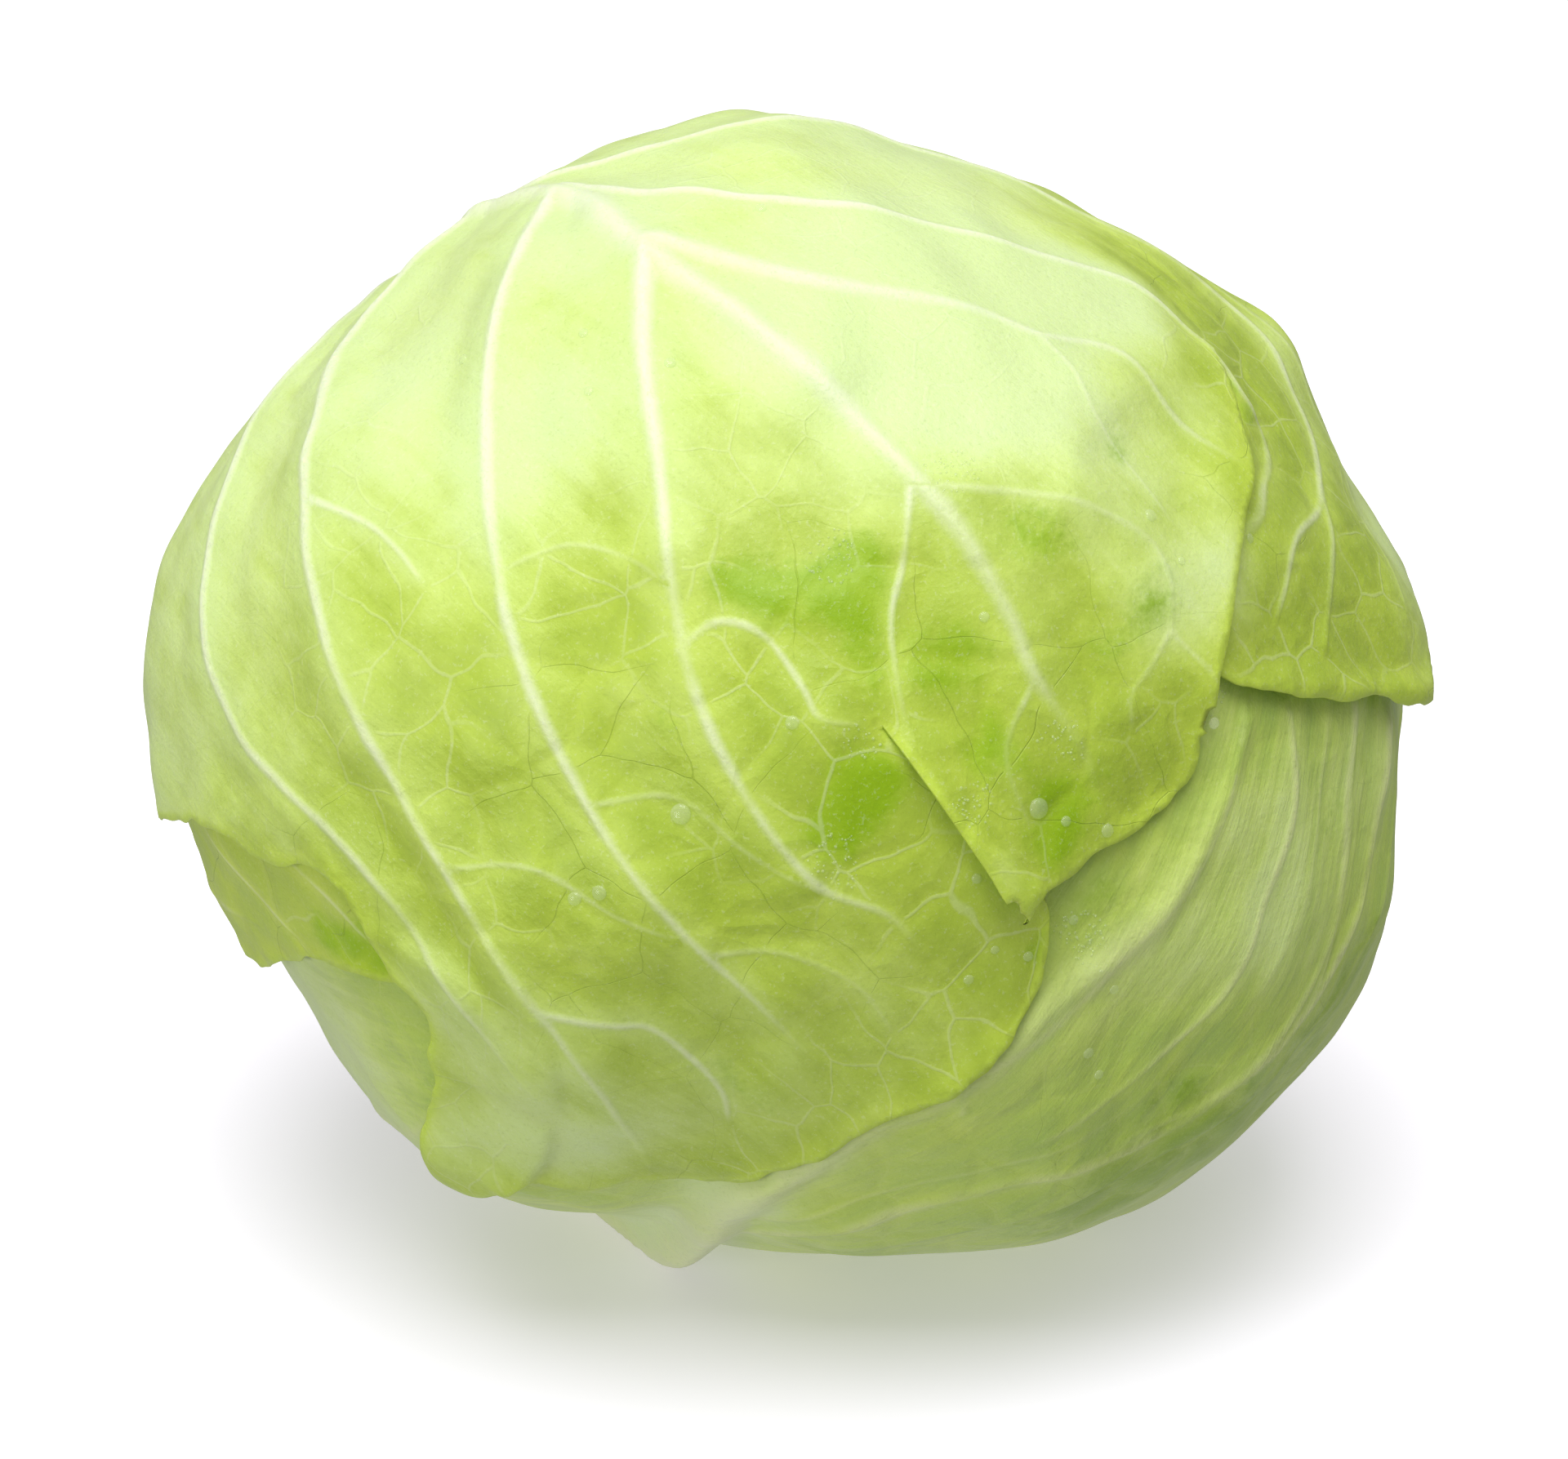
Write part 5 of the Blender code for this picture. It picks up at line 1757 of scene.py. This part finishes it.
@dataclass(frozen=True)
class Water:
    """Drops and patches of fine beads on one leaf, each as its u, v and radius in mm.

    stand is how high a drop stands, as a share of its radius, and beads how many there are to a square
    millimetre.
    """
    level: int
    drops: tuple[Triple, ...]
    patches: tuple[Triple, ...]
    stand: float = 0.5
    beads: float = 1.5
    bead_radius: Pair = (0.07, 0.24)
    drop_detail: int = 4
    bead_detail: int = 2
    corners: int = 10
    unevenness: Pair = (0.6, 1.2)
    seed: int = 4

    def build(self, wrapping: Wrapping) -> list[bpy.types.Object]:
        """Build the drops and the beads as one piece each.

        Args:
            wrapping: the leaves.

        Returns:
            The two pieces.
        """
        name = wrapping.leaves[self.level].plan.name
        water = WaterFinish(name + "_water").material()
        return [self._drops(wrapping, name + "_drops", water), self._beads(wrapping, name + "_beads", water)]

    def _drops(self, wrapping: Wrapping, name: str, water: bpy.types.Material) -> bpy.types.Object:
        """Flattened drops at their places.

        Args:
            wrapping: the leaves.
            name: the piece's name.
            water: its material.

        Returns:
            The piece.
        """
        places, facing = wrapping.skin(self.level, [drop[:2] for drop in self.drops])
        carrier = new_mesh(name + "_carrier", places, [], water)
        carry(carrier, size=np.array([radius for *_, radius in self.drops]) * MM,
              stand=np.full(len(self.drops), self.stand), facing=facing)
        tree = Scatter("placed_drops", detail="Int")
        turn = tree.add("FunctionNodeAlignRotationToVector", {},
                        {"Vector": tree.stored("facing", "FLOAT_VECTOR")})
        size = tree.stored("size")
        scale = tree.add("ShaderNodeCombineXYZ", {}, {0: size, 1: size, 2: size * tree.stored("stand")})
        tree.close(tree.carrier, tree.inputs["detail"], Rotation=turn, Scale=scale)
        return tree.run(name, carrier, water=water, detail=self.drop_detail)

    def _beads(self, wrapping: Wrapping, name: str, water: bpy.types.Material) -> bpy.types.Object:
        """Fine beads strewn over small uneven patches.

        Args:
            wrapping: the leaves.
            name: the piece's name.
            water: its material.

        Returns:
            The piece.
        """
        draw = np.random.RandomState(self.seed)
        points, faces = [], []
        for u, v, radius in self.patches:
            first = len(points)
            points.append((u, v))
            for index in range(self.corners):
                turn, reach = 2.0 * math.pi * index / self.corners, radius * draw.uniform(*self.unevenness)
                points.append((u + reach * math.cos(turn), v + reach * math.sin(turn)))
                faces.append((first, first + 1 + index, first + 1 + (index + 1) % self.corners))
        carrier = new_mesh(name + "_carrier", wrapping.skin(self.level, points)[0], faces, water)
        tree = Scatter("strewn_beads", beads_per_square_metre="Float", seed="Int", least_radius="Float",
                       most_radius="Float")
        density, seed, least, most = tree.inputs.values()
        strewn = tree.add("GeometryNodeDistributePointsOnFaces", {},
                          {"Mesh": tree.carrier, "Density": density, "Seed": seed})
        size = tree.add("FunctionNodeRandomValue", {"data_type": "FLOAT"},
                        {2: least, 3: most, 8: seed}, output=1)
        tree.close(strewn, self.bead_detail, Scale=size)
        least, most = self.bead_radius
        return tree.run(name, carrier, water=water, beads_per_square_metre=self.beads / MM ** 2,
                        seed=self.seed, least_radius=least * MM, most_radius=most * MM)


WATER = (
    Water(4, drops=((39, 24, 1.35), (3, 56, 1.35), (20, 26, 0.9), (54, 23, 1.0), (57, 21, 0.9),
                    (-3, 65, 0.9), (-36, 37, 0.9), (-3, -21, 0.8), (7, -27, 0.7), (1, -35, 0.7),
                    (14, -50, 0.8), (-32, -34, 0.8), (-8, 33, 0.7), (26, 68, 0.7), (22, 67, 0.6),
                    (19, 71, 0.7), (19, 57, 0.7), (1, 60, 0.7), (-35, 44, 0.6), (-50, 50, 0.7),
                    (-26, 65, 0.8)),
          patches=((1, 14, 4.0), (-6, 51, 3.5), (12, 49, 3.0), (28, 43, 4.5), (9, 49, 3.0), (15, 34, 3.0),
                   (-18, 16, 4.0))),
    Water(2, drops=((-10, 55, 0.7), (-7, 46, 0.8), (-3, 44, 0.7), (-22, 60, 0.7)),
          patches=((-21, 59, 3.5), (-18, 58, 3.5), (-16, 95, 3.5))))


# ---------------- the stalk

@dataclass(frozen=True)
class Stalk:
    """The cut stalk, a turned plug with a slightly uneven, domed cut face and a fibrous ring in it."""
    radius: float = 14.4
    steps: int = 96
    rings: int = 40
    cut_share: float = 0.93
    skin_share: float = 0.94
    dome: float = 0.9
    bevel: float = 0.5
    bevel_depth: float = 1.6
    shoulder_depth: float = 2.6
    waist: float = 0.3
    uneven_length: float = 5.0
    uneven_seed: int = 12
    uneven_depth: float = 0.25
    ring_share: float = 0.72
    ring_width: float = 0.05

    def profile(self, foot: float, top: float) -> list[tuple[float, float]]:
        """The outline that is turned, from the middle of the cut face to the edge of the foot.

        Args:
            foot: the height of the foot along the axis, in mm.
            top: the height of the cut face's middle.

        Returns:
            Radii and heights.
        """
        shoulder = top - self.shoulder_depth
        face = [(self.radius * share, top - self.dome * share ** 2)
                for share in np.linspace(0.0, self.cut_share, self.rings)]
        return face + [(self.radius - self.bevel, top - self.bevel_depth), (self.radius, shoulder),
                       (self.radius - self.waist, 0.5 * (foot + shoulder)), (self.radius, foot)]

    def build(self) -> bpy.types.Object:
        """Build the stalk's mesh between the solid's own foot and cut face."""
        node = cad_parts["stalk"]
        corners = np.array([tuple(node.matrix_world @ v.co) for v in node.data.vertices]) / MM
        axis, up, right = HEAD.stalk_axes
        heights = (corners - HEAD.centre) @ axis
        foot, top = heights.min(), heights.max()
        ripple = Ripple(self.uneven_length, self.uneven_seed)
        turns = np.linspace(0.0, 2.0 * math.pi, self.steps, endpoint=False)
        sideways = np.cos(turns)[:, None] * right + np.sin(turns)[:, None] * up
        points, ring, skin = [[HEAD.centre + axis * top]], [[0.0]], [[0.0]]
        for radius, height in self.profile(foot, top)[1:]:
            row, share = HEAD.centre + axis * height + sideways * radius, radius / self.radius
            cut = share < self.skin_share
            if cut:
                row -= axis * (np.abs(ripple.at(row)) * self.uneven_depth)[:, None]
            fibre = math.exp(-((share - self.ring_share) / self.ring_width) ** 2) if cut else 0.0
            points.append(row)
            ring.append(np.full(self.steps, fibre))
            skin.append(np.full(self.steps, 0.0 if cut else 1.0))
        points = np.concatenate(points + [[HEAD.centre + axis * foot]])
        item = new_mesh("cut_stalk", points, self._faces(len(ring) - 1), StalkFinish().material())
        carry(item, ring=np.concatenate(ring + [[0.0]]), skin=np.concatenate(skin + [[1.0]]))
        return item

    def _faces(self, rows: int) -> list[tuple[int, ...]]:
        """A fan on the first row, quads between the rows and a fan on the last.

        Args:
            rows: how many rows of points there are between the two middles.

        Returns:
            The faces, anticlockwise from outside.
        """
        faces, last = [], 1 + rows * self.steps
        for i in range(self.steps):
            j = (i + 1) % self.steps
            faces.append((0, 1 + i, 1 + j))
            for a in range(1, last - self.steps, self.steps):
                b = a + self.steps
                faces.append((a + i, b + i, b + j, a + j))
            a = last - self.steps
            faces.append((a + i, last, a + j))
        return faces


# ---------------- the studio

@dataclass(frozen=True)
class Softbox:
    """A square light that faces the head: its place and size in metres, and its power in watts."""
    name: str
    place: Triple
    size: float
    power: float

    def build(self) -> None:
        """Hang the light."""
        light = bpy.data.lights.new(self.name, "AREA")
        light.size, light.energy = self.size, self.power
        item = into_scene(self.name, light)
        aim = Vector(HEAD.centre * MM) - Vector(self.place)
        item.matrix_world = Matrix.Translation(self.place) @ aim.to_track_quat("-Z", "Y").to_matrix().to_4x4()


@dataclass(frozen=True)
class Studio:
    """A plain white floor and room, two softboxes and the camera.

    The floor glows least under the head and fully from glow_end on, in metres, so that it stays white
    there; the dim, bluish glow under the head is a painted shadow, which also takes out the green that the
    head throws on the floor. distance is the camera's from the middle of the head, in mm, and the camera
    aims a little to the right of it and below it.
    """
    floor_size: float = 8.0
    floor_paint: Colour = (0.86, 0.83, 0.91)
    floor_roughness: float = 0.9
    glow: float = 0.42
    glow_start: float = 0.03
    glow_end: float = 0.14
    painted_shadow_glow: Colour = (0.50, 0.47, 0.60)
    glow_far: Colour = (1.0, 1.0, 1.0)
    room_light: float = 0.27
    overhead_light: float = 0.52
    softboxes: tuple[Softbox, ...] = (Softbox("overhead_softbox", (-0.10, -0.62, 1.6), 1.2, 21.0),
                                      Softbox("left_softbox", (-1.25, -1.40, 0.12), 1.0, 15.0))
    lens: float = 100.0
    look_down: float = 20.0
    distance: float = 617.0
    aim_right: float = 1.157
    aim_down: float = 5.958

    def build(self) -> None:
        """Add the floor, the lights and the camera."""
        bpy.context.scene.view_settings.view_transform = "Standard"
        self._floor()
        self._room()
        for softbox in self.softboxes:
            softbox.build()
        self._camera()

    def _room(self) -> None:
        """Light the head from a white room that is brightest overhead."""
        world = bpy.data.worlds.new("white_room")
        world.use_nodes = True
        board, background = Board(world.node_tree), world.node_tree.nodes["Background"]
        way = board.add("ShaderNodeTexCoord", output="Generated")
        height = board.add("ShaderNodeSeparateXYZ", {}, {"Vector": way}, output="Z")
        strength = height * height * self.overhead_light + self.room_light
        world.node_tree.links.new(strength.socket, background.inputs["Strength"])
        background.inputs["Color"].default_value = (1.0, 1.0, 1.0, 1.0)
        bpy.context.scene.world = world

    def _floor(self) -> None:
        """Lay the floor, which casts no light of its own back on the head."""
        half = self.floor_size * 0.5 / MM
        corners = [(-half, -half, 0.0), (half, -half, 0.0), (half, half, 0.0), (-half, half, 0.0)]
        board = NodeBoard("white_floor")
        reach = board.add("ShaderNodeVectorMath", {"operation": "LENGTH"}, {0: board.place()}, output="Value")
        # Painted shadow: the glow is dimmest and bluish under the head, so the floor darkens round the
        # contact beyond the shade that the lamps cast.
        glow = board.blend(reach.step(self.glow_start, self.glow_end), self.painted_shadow_glow, self.glow_far)
        paint = board.finish({"Base Color": (*self.floor_paint, 1.0), "Roughness": self.floor_roughness,
                              "Specular IOR Level": 0.0, "Emission Strength": self.glow,
                              "Emission Color": glow})
        floor = new_mesh("floor", np.array(corners), [(0, 1, 2, 3)], paint)
        floor.visible_diffuse = False
        floor.visible_glossy = False
        floor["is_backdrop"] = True

    def _camera(self) -> None:
        """Set the camera in front of the head, looking down on it."""
        tilt = math.radians(self.look_down)
        forward = Vector((0.0, math.cos(tilt), -math.sin(tilt)))
        up = Vector((0.0, math.sin(tilt), math.cos(tilt)))
        sideways = Vector((1.0, 0.0, 0.0))
        aim = (forward * self.distance + sideways * self.aim_right - up * self.aim_down).normalized()
        right = aim.cross(Vector((0.0, 0.0, 1.0))).normalized()
        turn = Matrix((right, right.cross(aim), -aim)).transposed().to_4x4()
        data = bpy.data.cameras.new("camera")
        data.lens = self.lens
        camera = into_scene("camera", data)
        camera.matrix_world = Matrix.Translation((Vector(HEAD.centre) - forward * self.distance) * MM) @ turn
        bpy.context.scene.camera = camera


def main() -> None:
    """Build every piece in order, dress it and say where it rides."""
    logging.basicConfig(level=logging.INFO, format="%(message)s")
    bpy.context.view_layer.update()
    Studio().build()
    wrapping = Wrapping((INNER_LEAF, BACK_LEAF, LOW_LEAF, LEFT_LEAF, FRONT_LEAF))
    for level, leaf in enumerate(wrapping.leaves):
        item = wrapping.build(level)
        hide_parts(leaf.plan.node)
        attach(item, "root")
    for water in WATER:
        for item in water.build(wrapping):
            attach(item, "root")
            log.info("%s: %d faces", item.name, len(item.data.polygons))
    stalk = Stalk().build()
    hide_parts("stalk")
    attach(stalk, "root")
    log.info("%s: %d faces", stalk.name, len(stalk.data.polygons))
    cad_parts["heart"].material_slots[0].material = HeartFinish().material()
    log.info("heart: the frame's own solid, repainted")


if __name__ == "__main__":
    main()
